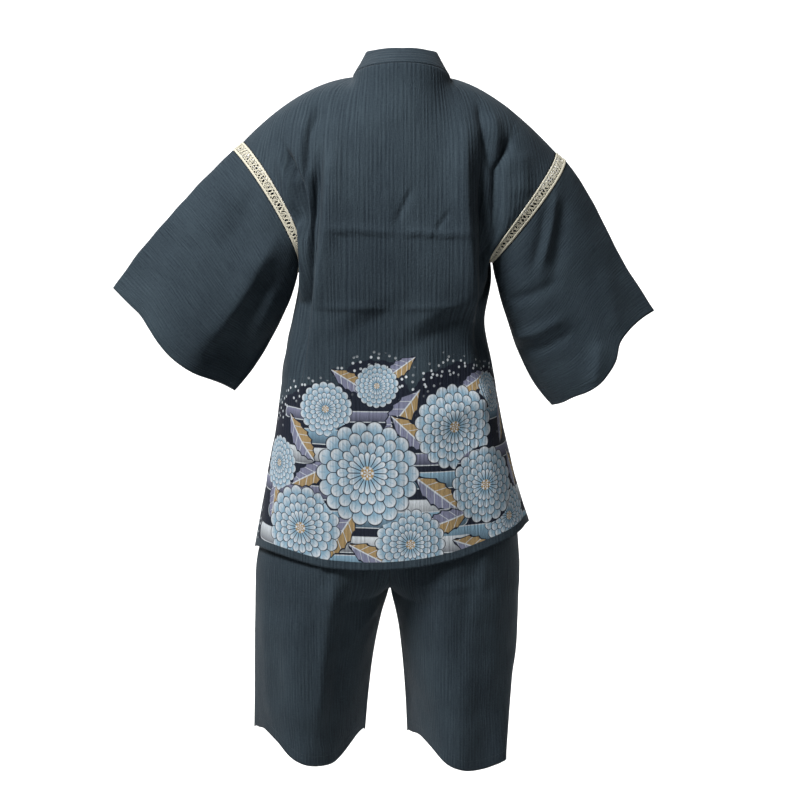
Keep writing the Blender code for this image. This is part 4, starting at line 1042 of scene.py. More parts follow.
def inset_line(grid, normals, distance, edge="bottom"):
    """A line over the cloth that keeps its distance from an edge of the grid, with its normals."""
    if edge in ("left", "right"):
        grid, normals = grid.transpose(1, 0, 2), normals.transpose(1, 0, 2)
    if edge in ("bottom", "right"):
        grid, normals = grid[::-1], normals[::-1]
    reached = run_lengths(grid, 0)
    line, ways = [], []
    for j in range(grid.shape[1]):
        line.append([np.interp(distance, reached[:, j], grid[:, j, k]) for k in range(3)])
        ways.append([np.interp(distance, reached[:, j], normals[:, j, k]) for k in range(3)])
    return np.array(line), np.array(ways)


def stitch_along(bundle, line, normals, start=0.0, end=0.0):
    """Rows of single stitches along a line, each lying on the cloth."""
    look = bpy.context.scene.jinbei_sewing
    reached = run_along(line)
    step = look.stitch + look.gap
    count = int((reached[-1] - start - end) / step)
    shares = np.array([0.0, 0.5, 1.0]) * look.stitch
    for k in range(count):
        at = start + k * step + look.gap / 2 + shares
        points, ways = at_lengths(at, reached, line), at_lengths(at, reached, normals)
        lift = np.array([0.0, 0.35, 0.0]) * look.wide
        raised = points + ways * lift[:, None]
        bundle.sweep(raised, ways, look.wide * 0.5, look.wide * 0.36, sides=4, taper=0.45)


# Materials


class Value:
    """A socket of a material. Sums on it add the nodes that work them out."""

    def __init__(self, tree, socket=None):
        self.tree, self.socket = tree, socket

    def node(self, kind, settings=None, inputs=None, output=0):
        """Any node: its settings are set first, then the values or links of its sockets."""
        made = self.tree.nodes.new(kind)
        for name, setting in (settings or {}).items():
            setattr(made, name, setting)
        for key, given in (inputs or {}).items():
            if isinstance(given, Value):
                self.tree.links.new(given.socket, made.inputs[key])
            else:
                made.inputs[key].default_value = given
        return Value(self.tree, made.outputs[output])

    def maths(self, operation, *others, clamp=False):
        settings = {"operation": operation, "use_clamp": clamp}
        return self.node("ShaderNodeMath", settings, dict(enumerate((self, *others))))

    def __add__(self, other):
        return self.maths("ADD", other)

    __radd__ = __add__

    def __sub__(self, other):
        return self.maths("SUBTRACT", other)

    def __rsub__(self, other):
        return self.node("ShaderNodeMath", {"operation": "SUBTRACT"}, {0: other, 1: self})

    def __mul__(self, other):
        return self.maths("MULTIPLY", other)

    __rmul__ = __mul__

    def __truediv__(self, other):
        return self.maths("DIVIDE", other)

    def __rtruediv__(self, other):
        return self.node("ShaderNodeMath", {"operation": "DIVIDE"}, {0: other, 1: self})

    def __pow__(self, other):
        return self.maths("POWER", other)

    def __abs__(self):
        return self.maths("ABSOLUTE")

    def within(self, limit, soft):
        """1 where this is under the limit and 0 over it, with a soft edge."""
        return (limit - self).maths("MULTIPLY_ADD", 1 / soft, 0.5, clamp=True)

    def clamped(self):
        return self.maths("ADD", 0.0, clamp=True)

    def tint(self, low, high):
        """A colour between two, by this share."""
        return self.node("ShaderNodeMix", {"data_type": "RGBA"}, {0: self, 6: low, 7: high}, 2)

    def choose(self, low, high):
        """A number between two, by this share."""
        return self.node("ShaderNodeMix", {"data_type": "FLOAT"}, {0: self, 2: low, 3: high})

    def streaks(self, along, wide, long, detail=2.0):
        """Uneven streaks from 0 to 1 across this coordinate, each about this wide and long."""
        place = self.node("ShaderNodeCombineXYZ", inputs={0: self / wide, 1: along / long})
        settings = {"noise_dimensions": "2D"}
        return self.node("ShaderNodeTexNoise", settings, {"Vector": place, "Scale": 1.0, "Detail": detail})


def new_finish(name, roughness=0.9, sheen=0.0):
    """A material with its shader, and a board that its nodes are built on."""
    finish = bpy.data.materials.new(name)
    finish.use_nodes = True
    shader = finish.node_tree.nodes["Principled BSDF"]
    shader.inputs["Roughness"].default_value = roughness
    shader.inputs["Specular IOR Level"].default_value = 0.15
    shader.inputs["Sheen Weight"].default_value = sheen
    shader.inputs["Sheen Roughness"].default_value = 0.45
    return finish, shader, Value(finish.node_tree)


def map_parts(board, name):
    """The two coordinates of a map."""
    whole = board.node("ShaderNodeUVMap", {"uv_map": name})
    return tuple(board.node("ShaderNodeSeparateXYZ", inputs={0: whole}, output=k) for k in (0, 1))


def link(value, shader, socket):
    value.tree.links.new(value.socket, shader.inputs[socket])


def crepe_tones(board, fineness=1.0):
    """The crepe's stripes as a share from dark to light, and the height of its threads."""
    look = bpy.context.scene.jinbei_crepe
    across, along = map_parts(board, "cloth")
    repeat = look.stripe * fineness
    drift = across.streaks(along, 0.020, 0.90, detail=1.0)
    stripe = ((across / repeat + drift * 1.6) * (2 * math.pi)).maths("COSINE")
    strength = (across.streaks(along, repeat * 1.7, look.slub) * 2.6 - 0.75).clamped() * fineness
    fine = across.streaks(along, look.stripe * 0.22, look.slub * 0.5)
    yarn = along.streaks(across, 0.0012, 0.0060)
    pucker = across.streaks(along, 0.0016, 0.0036, detail=1.0)
    faded = across.streaks(along, 0.10, 0.15)
    tone = stripe * strength * 0.30 + fine * 1.0 + yarn * 0.55 + pucker * 0.4 + faded * 0.8 - 0.88
    height = stripe * strength * 0.5 + fine * 0.4 + pucker * 0.9 + yarn * 0.3
    return tone.clamped(), height


def finish_cloth(board, shader, colour, height):
    """Seams show as a thin line of painted shade, where shade falls in their groove, and as a groove in the
    relief; the threads show as relief.
    """
    from_seam = map_parts(board, "edge")[1]
    # Painted shade: the colour darkens towards near black in a thin line at each seam, standing in for the
    # shade in the seam's groove; the same line is also pressed into the relief below.
    seam = from_seam.within(0.0009, 0.0010)
    colour = (seam * 0.30).tint(colour, (0.004, 0.006, 0.009, 1.0))
    link(colour, shader, "Base Color")
    puff = height - seam
    bump = board.node("ShaderNodeBump", inputs={"Strength": 0.75, "Distance": 0.0007, "Height": puff})
    link(bump, shader, "Normal")


def crepe(name, fineness):
    look = bpy.context.scene.jinbei_crepe
    finish, shader, board = new_finish(name, sheen=0.03)
    tone, height = crepe_tones(board, fineness)
    finish_cloth(board, shader, tone.tint(tuple(look.dark), tuple(look.light)), height)
    return finish


# The print: chrysanthemums and leaves over bands of mist, placed by the way from the middle and the drop
Motif = namedtuple("Motif", "across drop radius turn")
BLOSSOMS = [
    Motif(0.036, 0.432, 0.032, 0.20), Motif(-0.150, 0.448, 0.030, 0.05), Motif(0.196, 0.552, 0.040, 0.11),
    Motif(-0.172, 0.628, 0.046, 0.14), Motif(-0.012, 0.656, 0.052, 0.02), Motif(0.110, 0.466, 0.040, 0.09),
    Motif(-0.078, 0.492, 0.062, 0.15), Motif(0.150, 0.638, 0.062, 0.07), Motif(-0.128, 0.578, 0.056, 0.12),
    Motif(0.050, 0.556, 0.076, 0.00),
]
LEAVES = [
    Motif(0.000, 0.470, 0.044, 0.9), Motif(-0.012, 0.500, 0.040, 2.4), Motif(0.074, 0.426, 0.034, 2.6),
    Motif(0.004, 0.408, 0.030, 0.6), Motif(-0.118, 0.430, 0.034, 0.4), Motif(-0.176, 0.492, 0.036, 1.2),
    Motif(0.150, 0.510, 0.042, 2.2), Motif(0.132, 0.560, 0.040, 0.5), Motif(-0.052, 0.586, 0.046, 2.5),
    Motif(-0.062, 0.626, 0.044, 0.3), Motif(0.090, 0.644, 0.046, 1.0), Motif(0.044, 0.674, 0.040, 2.7),
    Motif(0.205, 0.604, 0.036, 1.4), Motif(-0.112, 0.666, 0.042, 2.8), Motif(-0.195, 0.566, 0.034, 1.9),
]
Mist = namedtuple("Mist", "across drop reach half colour")
MISTS = [
    Mist(0.096, 0.476, 0.090, 0.0080, "violet"), Mist(-0.120, 0.478, 0.080, 0.0090, "blue"),
    Mist(0.030, 0.506, 0.120, 0.0110, "blue"), Mist(-0.090, 0.536, 0.130, 0.0090, "violet"),
    Mist(0.140, 0.534, 0.090, 0.0120, "white"), Mist(-0.040, 0.566, 0.130, 0.0120, "blue"),
    Mist(0.150, 0.586, 0.110, 0.0100, "violet"), Mist(-0.110, 0.606, 0.120, 0.0130, "white"),
    Mist(0.060, 0.622, 0.160, 0.0120, "blue"), Mist(-0.110, 0.646, 0.130, 0.0130, "blue"),
    Mist(0.070, 0.658, 0.180, 0.0120, "white"), Mist(-0.010, 0.684, 0.260, 0.0110, "blue"),
]
Cloud = namedtuple("Cloud", "across drop radius")
CLOUDS = [
    Cloud(-0.085, 0.492, 0.090), Cloud(0.060, 0.545, 0.115), Cloud(-0.150, 0.590, 0.105),
    Cloud(0.170, 0.600, 0.110), Cloud(0.000, 0.640, 0.140), Cloud(0.130, 0.520, 0.085),
    Cloud(0.040, 0.450, 0.055), Cloud(-0.150, 0.470, 0.055), Cloud(0.120, 0.690, 0.120),
    Cloud(-0.130, 0.690, 0.120), Cloud(0.220, 0.560, 0.090), Cloud(-0.210, 0.540, 0.080),
]
PETALS = 18
Ring = namedtuple("Ring", "reach inner scallop")
RINGS = [Ring(0.99, 0.74, 0.13), Ring(0.80, 0.54, 0.15), Ring(0.60, 0.34, 0.18), Ring(0.41, 0.14, 0.22)]
LEAF_WIDTH = 0.42
HEM_STRIP = 0.0120
SIDE_STRIP = 0.0080


def petalled(picture, across, drop, look):
    """Chrysanthemums laid over the picture, ring by ring towards the middle."""
    x, y, turn = 9.0, 9.0, 0.0
    for motif in BLOSSOMS:
        own_x, own_y = (across - motif.across) / motif.radius, (drop - motif.drop) / motif.radius
        over = (own_x * own_x + own_y * own_y).within(1.0, 0.001)
        x, y, turn = over.choose(x, own_x), over.choose(y, own_y), over.choose(turn, motif.turn)
    radius = (x * x + y * y).maths("SQRT")
    angle = (y.maths("ARCTAN2", x) + turn) * (PETALS / 2)
    waves_even, waves_odd = angle.maths("COSINE"), angle.maths("SINE")
    white, blue, navy, tan = tuple(look.white), tuple(look.blue), tuple(look.navy), tuple(look.tan)
    for number, ring in enumerate(RINGS):
        wave = abs(waves_even if number % 2 == 0 else waves_odd)
        rim = (wave ** 0.55 * ring.scallop + (1 - ring.scallop)) * ring.reach
        tip = (radius - ring.inner) / (ring.reach - ring.inner)
        petal = (tip * 1.6 - 0.30).clamped().tint(blue, white)
        vein = ((1 - wave) * radius).within(0.010, 0.008) * tip.within(0.72, 0.10)
        petal = (vein * 0.55).tint(petal, blue)
        between = (wave * radius).within(0.075, 0.05)
        outline = (rim - radius).within(0.022, 0.016)
        petal = between.maths("MAXIMUM", outline).tint(petal, navy)
        picture = radius.within(rim, 0.02).tint(picture, petal)
    seeds = ((angle * 0.6667).maths("COSINE") * (radius * 60).maths("COSINE")).within(0.1, 0.2)
    return radius.within(0.13, 0.02).tint(picture, seeds.tint(white, tan))


def leaved(picture, across, drop, look):
    """Pointed leaves with toothed edges laid over the picture."""
    x, y = 9.0, 9.0
    for leaf in LEAVES:
        cos, sin = math.cos(leaf.turn) / leaf.radius, math.sin(leaf.turn) / leaf.radius
        off_x, off_y = across - leaf.across, drop - leaf.drop
        own_x, own_y = off_x * cos + off_y * sin, off_y * cos - off_x * sin
        over = (abs(own_y) + own_x * own_x * LEAF_WIDTH).within(LEAF_WIDTH, 0.001)
        x, y = over.choose(x, own_x), over.choose(y, own_y)
    side = abs(y)
    teeth = abs(((x - side * 0.8) * 10).maths("SINE"))
    room = LEAF_WIDTH - x * x * LEAF_WIDTH - side - teeth * 0.06
    blade = y.within(0.0, 0.02).tint(tuple(look.tan), tuple(look.violet))
    veins = abs(((x - side * 0.8) * 10).maths("COSINE")).within(0.12, 0.10)
    blade = veins.maths("MAXIMUM", side.within(0.022, 0.015)).tint(blade, tuple(look.white))
    blade = room.within(0.045, 0.02).tint(blade, tuple(look.navy))
    return (1 - room.within(0.0, 0.01)).tint(picture, blade)


def misted(picture, across, drop, look):
    """Bands of mist with round ends and a pale edge."""
    for mist in MISTS:
        off_x = (abs(across - mist.across) - (mist.reach - mist.half)).maths("MAXIMUM", 0.0)
        off_y = drop - mist.drop
        away = (off_x * off_x + off_y * off_y).maths("SQRT")
        body = (off_y / mist.half * 0.45 + 0.35).clamped()
        band = body.tint(tuple(getattr(look, mist.colour)), tuple(look.navy))
        band = (mist.half - away).within(0.0012, 0.0008).tint(band, tuple(look.white))
        picture = away.within(mist.half, 0.0008).tint(picture, band)
    return picture


def clouded(picture, across, drop, look):
    """The dark ground under the motifs, with an uneven edge."""
    nearest = 1.0
    for cloud in CLOUDS:
        off_x, off_y = across - cloud.across, drop - cloud.drop
        away = (off_x * off_x + off_y * off_y).maths("SQRT") - cloud.radius
        nearest = away.maths("MINIMUM", nearest)
    wobble = across.streaks(drop, 0.022, 0.022) * 0.020 - 0.010
    inside = (nearest + wobble).within(0.0, 0.0015)
    place = across.node("ShaderNodeCombineXYZ", inputs={0: across / 0.011, 1: drop / 0.011})
    speck = across.node("ShaderNodeTexVoronoi", {"voronoi_dimensions": "2D"}, {"Vector": place, "Scale": 1.0})
    fringe = (nearest + wobble + 0.004).maths("ABSOLUTE").within(0.014, 0.010)
    picture = inside.tint(picture, tuple(look.navy))
    return (speck.within(0.17, 0.06) * fringe).tint(picture, tuple(look.white))


def printed_crepe():
    """The back's crepe, with a print over its lower half that stops short of the hem and the side seams."""
    crepe_look, look = bpy.context.scene.jinbei_crepe, bpy.context.scene.jinbei_print
    finish, shader, board = new_finish("printed_crepe", sheen=0.03)
    tone, height = crepe_tones(board)
    ground = tone.tint(tuple(crepe_look.dark), tuple(crepe_look.light))
    across, drop = map_parts(board, "place")
    picture = clouded(ground, across, drop, look)
    picture = misted(picture, across, drop, look)
    picture = leaved(picture, across, drop, look)
    picture = petalled(picture, across, drop, look)
    worn = (tone * 0.34 + 0.62).clamped()
    ink = worn.tint(ground, picture)
    from_hem, from_seam = map_parts(board, "edge")
    inside = (1 - from_hem.within(HEM_STRIP, 0.0006)) * (1 - from_seam.within(SIDE_STRIP, 0.0006))
    finish_cloth(board, shader, inside.tint(ground, ink), height)
    return finish


def thread_finish(name, colour, size=0.0006, sheen=0.1):
    """Plain cotton thread with a fine twist."""
    finish, shader, board = new_finish(name, sheen=sheen)
    place = board.node("ShaderNodeTexCoord", output=3)
    twist = board.node("ShaderNodeTexNoise", inputs={"Vector": place, "Scale": 1 / size, "Detail": 2.0})
    shade = tuple(c * 0.72 for c in colour[:3]) + (1.0,)
    link((twist * 1.6 - 0.3).clamped().tint(shade, tuple(colour)), shader, "Base Color")
    bump = board.node("ShaderNodeBump", inputs={"Strength": 0.6, "Distance": size / 2, "Height": twist})
    link(bump, shader, "Normal")
    return finish


# How fine and quiet each crepe's stripes are, against the back's
CREPE_FINENESS = {"indigo_crepe": 1.0, "sleeve_crepe": 0.62, "shorts_crepe": 0.80}


def finish_named(name):
    """A finish that is made once and used again."""
    made = bpy.data.materials.get(name)
    if made is not None:
        return made
    if name == "printed_crepe":
        return printed_crepe()
    if name == "cream_cotton":
        return thread_finish(name, tuple(bpy.context.scene.jinbei_lace.cream))
    if name == "indigo_thread":
        return thread_finish(name, tuple(bpy.context.scene.jinbei_sewing.thread))
    return crepe(name, CREPE_FINENESS[name])


# The pieces


def sewn(name, *lines, start=0.0, end=0.0):
    """Rows of stitches along lines over the cloth, as one piece."""
    sewing = Bundle()
    for line in lines:
        stitch_along(sewing, *line, start=start, end=end)
    return sewing.build(name, finish_named("indigo_thread"))


class JINBEI_OT_back(Operator):
    """Makes the jacket's back with its print and its hem's stitching"""

    bl_idname = "jinbei.back"
    bl_label = "Back"

    def execute(self, context):
        grid = back_rows(BACK_COLUMNS, YOKE_ROWS, SKIRT_ROWS)
        down, across = run_lengths(grid, 0), run_lengths(grid, 1)
        from_side = np.minimum(across, across[:, -1:] - across)
        near_neck = eased(down / SMOOTH_TOP_BLEND) * eased((SMOOTH_END - down) / SMOOTH_END_BLEND)
        near_neck = near_neck * eased((from_side - SMOOTH_SIDE) / SMOOTH_SIDE_BLEND)
        grid = smoothed(grid, SMOOTH_COLUMNS, near_neck)
        maps = weave_maps(grid, plumb=0.0)
        maps["place"] = np.stack([maps["cloth"][:, :, 0], -grid[:, :, 2]], axis=2)
        grid = draped(grid, BACK_FOLDS, BACK_CREASES, 1, seed=3.0)
        finishes = [finish_named("printed_crepe"), finish_named("indigo_crepe")]
        back = cloth("back_cloth", grid, finishes, maps)
        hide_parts("jacket_back")
        hem_line = inset_line(grid, normals_of(grid), HEM_STITCH)
        stitches = sewn("back_stitches", hem_line, start=STITCH_MARGIN, end=STITCH_MARGIN)
        return {"FINISHED"}


class JINBEI_OT_fronts(Operator):
    """Makes the two wrap fronts with their stitching"""

    bl_idname = "jinbei.fronts"
    bl_label = "Fronts"

    def execute(self, context):
        for arm in (LEFT, RIGHT):
            grid = front_rows(arm, FRONT_COLUMNS, YOKE_ROWS, SKIRT_ROWS)
            maps = weave_maps(grid, plumb=arm.sign * FRONT_PLUMB)
            strength = FRONT_STRENGTH[arm.name]
            grid = draped(grid, [], FRONT_CREASES, -1, seed=11.0 + arm.sign, strength=strength)
            front = cloth(f"front_cloth_{arm.name}", grid, [finish_named("indigo_crepe")], maps)
            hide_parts(f"jacket_front_{arm.name}")
            hem_line = inset_line(grid, normals_of(grid), HEM_STITCH)
            name = f"front_stitches_{arm.name}"
            stitches = sewn(name, hem_line, start=STITCH_MARGIN, end=FREE_EDGE_MARGIN)
        return {"FINISHED"}


class JINBEI_OT_neckband(Operator):
    """Makes the folded neckband with its edge stitching"""

    bl_idname = "jinbei.neckband"
    bl_label = "Neckband"

    def execute(self, context):
        pairs = collar_half(RIGHT)[::-1] + collar_half(LEFT)[1:]
        seam = np.array([tuple(p[0]) for p in pairs])
        free = np.array([tuple(p[1]) for p in pairs])
        flat = np.stack([free, (free + seam) / 2, seam])
        inward = -normals_of(flat)[1]
        inner = inward * (BAND_THICK * BAND_INNER)
        rows = [mix(free, seam, 1 - k / BAND_ROWS) + inner for k in range(BAND_ROWS)]
        for k in range(BAND_TURN_ROWS):
            turn = math.pi * (k + 0.5) / BAND_TURN_ROWS
            reach = (free - seam) * (math.sin(turn) * BAND_THICK * 0.5 / BAND_WIDTH)
            rows.append(free + reach * 0.6 + inward * (BAND_THICK * (0.5 + 0.5 * math.cos(turn))))
        rows += [mix(free, seam, k / BAND_ROWS) for k in range(BAND_ROWS + 1)]
        grid = np.array(rows)
        down, across = run_lengths(grid, 0), run_lengths(grid, 1)
        fold_row = BAND_ROWS + BAND_TURN_ROWS // 2
        from_edge = np.abs(down - down[fold_row])
        maps = {
            "cloth": np.stack([down, across], axis=2),
            "edge": np.stack([from_edge, down[-1:] - down + 0.0004], axis=2),
        }
        sizes = context.scene.jinbei_cloth
        swell = np.sin(np.clip((down[-1:] - down) / BAND_WIDTH, 0, 1) * math.pi)
        wave = waves(grid, BAND_WAVE_SIZE, 5.0) * sizes.wave * BAND_WAVE_SHARE * swell
        grid = grid + normals_of(grid) * wave[:, :, None]
        finishes = [finish_named("indigo_crepe")]
        band = cloth("neckband_cloth", grid, finishes, maps, thickness=BAND_FOLD_THICK)
        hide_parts("neckband")
        outer = grid[BAND_ROWS + BAND_TURN_ROWS - 1:]
        normals = normals_of(outer)
        distances = (EDGE_STITCH, BAND_SEAM_STITCH)
        lines = [inset_line(outer, normals, distance, edge="top") for distance in distances]
        stitches = sewn("neckband_stitches", *lines)
        return {"FINISHED"}


class JINBEI_OT_sleeves(Operator):
    """Makes the two sleeves with their cuffs' stitching"""

    bl_idname = "jinbei.sleeves"
    bl_label = "Sleeves"

    def execute(self, context):
        for arm in (LEFT, RIGHT):
            steps = YOKE_ROWS
            falls = [(1, k / steps) for k in range(steps + 1)]
            falls += [(-1, 1 - k / steps) for k in range(1, steps + 1)]
            if arm.sign > 0:
                falls = falls[::-1]
            lines = np.array([[tuple(p) for p in sleeve_line(arm, *fall, SLEEVE_ROWS)] for fall in falls])
            grid = lines.transpose(1, 0, 2)
            maps = weave_maps(grid, turned=True)
            maps["edge"][:, :, 1] = run_lengths(grid, 0)
            behind = draped(grid, SLEEVE_FOLDS, SLEEVE_CREASES, 1, 21.0 + arm.sign, seams="top", ring=True)
            before = draped(grid, [], SLEEVE_CREASES, -1, 21.0 + arm.sign, seams="top", ring=True)
            facing_back = (normals_of(grid, True)[:, :, 1:2] > 0).astype(float)
            grid = behind * facing_back + before * (1 - facing_back)
            grid[:, -1] = grid[:, 0]
            sleeve = cloth(f"sleeve_cloth_{arm.name}", grid, [finish_named("sleeve_crepe")], maps, ring=True)
            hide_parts(f"sleeve_{arm.name}")
            normals = normals_of(grid, True)
            cuff_line = inset_line(grid, normals, CUFF_STITCH)
            seam_line = inset_line(grid, normals, EDGE_STITCH, edge="top")
            stitches = sewn(f"sleeve_stitches_{arm.name}", cuff_line, seam_line)
        return {"FINISHED"}


class JINBEI_OT_lace(Operator):
    """Makes the lattice lace between the body and each sleeve"""

    bl_idname = "jinbei.lace"
    bl_label = "Lace"

    def execute(self, context):
        look = context.scene.jinbei_lace
        for arm in (LEFT, RIGHT):
            for side, part in ((1, "back"), (-1, "front")):
                self.half(look, arm, side, part)
        return {"FINISHED"}

    def half(self, look, arm, side, part):
        falls = [k / YOKE_ROWS for k in range(YOKE_ROWS + 1)]
        near = np.array([tuple(edge_point(arm, side, fall)) for fall in falls])
        wide = np.array([lace_width(fall) for fall in falls])
        ways = np.array([tuple(lace_way(arm, side, fall)) for fall in falls])
        reached = run_along(near)
        length = reached[-1]
        grid = np.stack([near, near + ways * wide[:, None]], axis=1)
        out = normals_of(grid)[:, 0] * (-arm.sign * side)

        def place(along, across, lift=0.0):
            along = np.clip(along, 0.0, length)
            base, way, normal = (at_lengths(along, reached, values) for values in (near, ways, out))
            reach = np.interp(along, reached, wide) * across
            return base + way * reach[:, None] + normal * (lift - LACE_SINK), normal

        lace = Bundle()
        smooth = np.linspace(0.0, length, int(length / LACE_STEP))
        full = np.interp(smooth, reached, wide)
        tape = np.minimum(look.tape / full, TAPE_MOST)
        for centre in (tape / 2, 1 - tape / 2):
            line, normal = place(smooth, centre)
            lace.sweep(line, normal, look.tape / 2, TAPE_THICK, sides=8)
        for centre in (tape * 0.9, 1 - tape * 0.9):
            line, normal = place(smooth, centre, TAPE_THICK)
            lace.sweep(line, normal, CORD_HALF, CORD_HALF, sides=5)
        for strand in STRANDS:
            turn = 2 * math.pi * (smooth / (look.repeat * strand.repeat) + strand.phase)
            line, normal = place(smooth, 0.5 + strand.reach * np.cos(turn), STRAND_LIFT)
            lace.sweep(line, normal, look.thread / 2, STRAND_HALF_THICK, sides=6)
        for k in range(int(length / look.repeat * 2)):
            at = (k + 0.5) * look.repeat / 2
            reach = np.interp(at, reached, wide)
            turn = np.linspace(0.0, 2 * math.pi, 11)
            along = at + KNOT_RADIUS * np.cos(turn)
            across = 0.5 + KNOT_OFF * (-1) ** k + KNOT_RADIUS / reach * np.sin(turn)
            line, normal = place(along, across, KNOT_LIFT)
            lace.sweep(line, normal, KNOT_THREAD, STRAND_HALF_THICK, sides=5, closed=True)
        piece = lace.build(f"lace_cloth_{arm.name}_{part}", finish_named("cream_cotton"))
        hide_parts(f"lace_{arm.name}_{part}")


class JINBEI_OT_shorts(Operator):
    """Makes the shorts' four panels with their hems' stitching"""

    bl_idname = "jinbei.shorts"
    bl_label = "Shorts"

    def execute(self, context):
        for arm in (LEFT, RIGHT):
            for side, part in ((1, "back"), (-1, "front")):
                grid = leg_rows(arm, side)
                maps = weave_maps(grid, plumb=PLUMB[arm.name])
                folds, creases = (LEG_FOLDS, LEG_CREASES) if side > 0 else ([], LEG_FRONT_CREASES)
                flat = grid - normals_of(grid) * UNDER_JACKET
                shown = eased((-grid[:, :, 2] - JACKET_COVERS) / COVER_BLEND)[:, :, None]
                strength = LEG_STRENGTH[part]
                grid = draped(grid, folds, creases, side, 31.0 + arm.sign * 2 + side, strength=strength)
                grid = flat + (grid - flat) * shown
                panel = cloth(f"shorts_cloth_{part}_{arm.name}", grid, [finish_named("shorts_crepe")], maps)
                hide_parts(f"shorts_{part}_{arm.name}")
                hem_line = inset_line(grid, normals_of(grid), LEG_STITCH)
                stitches = sewn(f"shorts_stitches_{part}_{arm.name}", hem_line)
        return {"FINISHED"}


class JINBEI_OT_waistband(Operator):
    """Makes the shorts' gathered waistband"""

    bl_idname = "jinbei.waistband"
    bl_label = "Waistband"

    def execute(self, context):
        rows = []
        for i in range(WAIST_ROWS + 1):
            share = i / WAIST_ROWS
            drop = mix(WAISTBAND_TOP, SHORTS_TOP - SEAM_GAP, share)
            row = []
            for k in range(WAIST_COLUMNS + 1):
                turn = 2 * math.pi * k / WAIST_COLUMNS
                side = WAISTBAND_SIDE[0] if math.cos(turn) > 0 else WAISTBAND_SIDE[1]
                deep = WAISTBAND_DEPTH[0] if math.sin(turn) < 0 else WAISTBAND_DEPTH[1]
                uneven = noise.noise(Vector((math.cos(turn) * 4, math.sin(turn) * 4, share)))
                gather = GATHER_DEEP * math.sin(GATHERS * turn + 2.0 * uneven)
                gather *= 1 - 0.6 * abs(2 * share - 1) ** 3
                row.append((
                    middle(drop) + (side - middle(drop) + math.copysign(gather, side)) * abs(math.cos(turn)),
                    -(deep + gather) * math.sin(turn), -drop,
                ))
            rows.append(row)
        grid = np.array(rows)
        grid[:, -1] = grid[:, 0]
        maps = weave_maps(grid)
        finishes = [finish_named("indigo_crepe")]
        band = cloth("waistband_cloth", grid, finishes, maps, ring=True, thickness=WAIST_THICK)
        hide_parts("shorts_waistband")
        return {"FINISHED"}


def front_face(x, drop):
    """How far forward the jacket's front lies here."""
    side = read(TORSO, drop, "left" if x > middle(drop) else "right")
    square = read(TORSO, drop, "square")
    share = min(abs((x - middle(drop)) / (side - middle(drop))), 1.0)
    return -read(TORSO, drop, "front") * (1 - share**square) ** (1 / square)


class JINBEI_OT_tie(Operator):
    """Makes the tie's knot, loops and tails"""

    bl_idname = "jinbei.tie"
    bl_label = "Tie"

    def execute(self, context):
        x0, drop0 = TIE_PLACE
        half_x, half_z, deep = KNOT_SIZE

        def knot(along, v):
            u = 1 - 2 * along
            return (
                x0 + half_x * v * (1 - 0.12 * u * u),
                drop0 - half_z * u * (1 - 0.12 * v * v),
                deep * (0.72 + 0.28 * math.cos(v * 9.0) * (1 - v * v)),
            )

        def loop(way, start, length):
            def at(along, v):
                drop = drop0 + v * read(LOOP, along, "half") + read(LOOP, along, "sink")
                puff = 0.0016 + 0.0022 * math.sin(min(along * 1.1, 1.0) * math.pi)
                return x0 + way * (start + length * along), drop, puff * (1 + 0.25 * math.cos(v * 7.0))
            return at

        def tail(way, length):
            def at(along, v):
                drop = drop0 + half_z + SEAM_GAP + length * along
                bow = 0.0016 * math.sin(along * 7.0 + way)
                centre = x0 + way * (TAIL_HALF + SEAM_GAP / 2 + 0.010 * along) + bow * along
                return centre + TAIL_HALF * v, drop, 0.0018 + 0.0004 * math.cos(v * 6.0)
            return at

        knot_piece = self.puffed("tie_knot", knot, KNOT_ROWS, KNOT_COLUMNS)
        for name, way, start, length in zip(("left", "right"), (1, -1), LOOP_STARTS, LOOP_LENGTHS):
            piece = self.puffed(f"tie_loop_{name}", loop(way, start, length), LOOP_ROWS, LOOP_COLUMNS)
        for name, way, length in zip(("left", "right"), (1, -1), TAIL_LENGTHS):
            piece = self.puffed(f"tie_tail_{name}", tail(way, length), TAIL_ROWS, TAIL_COLUMNS)
        return {"FINISHED"}

    def puffed(self, node, at, rows, columns):
        """A closed form on the jacket's front, in place of a solid.

        at gives its place and thickness for along from 0 to 1 and v from -1 to 1.
        """
        rings = []
        for i in range(rows + 1):
            ring = []
            for k in range(2 * columns):
                back = k >= columns
                v = math.cos(math.pi * k / columns)
                x, drop, thick = at(i / rows, v)
                rim = math.sqrt(max(1 - v**4, 0.0))
                off = TIE_STAND_OFF + thick * (0.5 - 0.5 * rim if back else 0.5 + 0.5 * rim)
                ring.append((x, front_face(x, drop) - off, -drop))
            rings.append(ring + ring[:1])
        grid = np.array(rings)
        if normals_of(grid, True)[rows // 2, columns // 2, 1] > 0:
            grid = grid[:, ::-1]
        maps = weave_maps(grid, top_seam=False)
        maps["edge"] = np.full_like(maps["edge"], 0.02)
        mesh_grid = np.concatenate([
            np.repeat(grid[:1].mean(axis=1, keepdims=True), grid.shape[1], axis=1), grid,
            np.repeat(grid[-1:].mean(axis=1, keepdims=True), grid.shape[1], axis=1),
        ])
        maps = {key: np.concatenate([value[:1], value, value[-1:]]) for key, value in maps.items()}
        finishes = [finish_named("indigo_crepe")]
        piece = cloth(f"{node}_cloth", mesh_grid, finishes, maps, ring=True, thickness=0)
        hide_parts(node)
        return piece


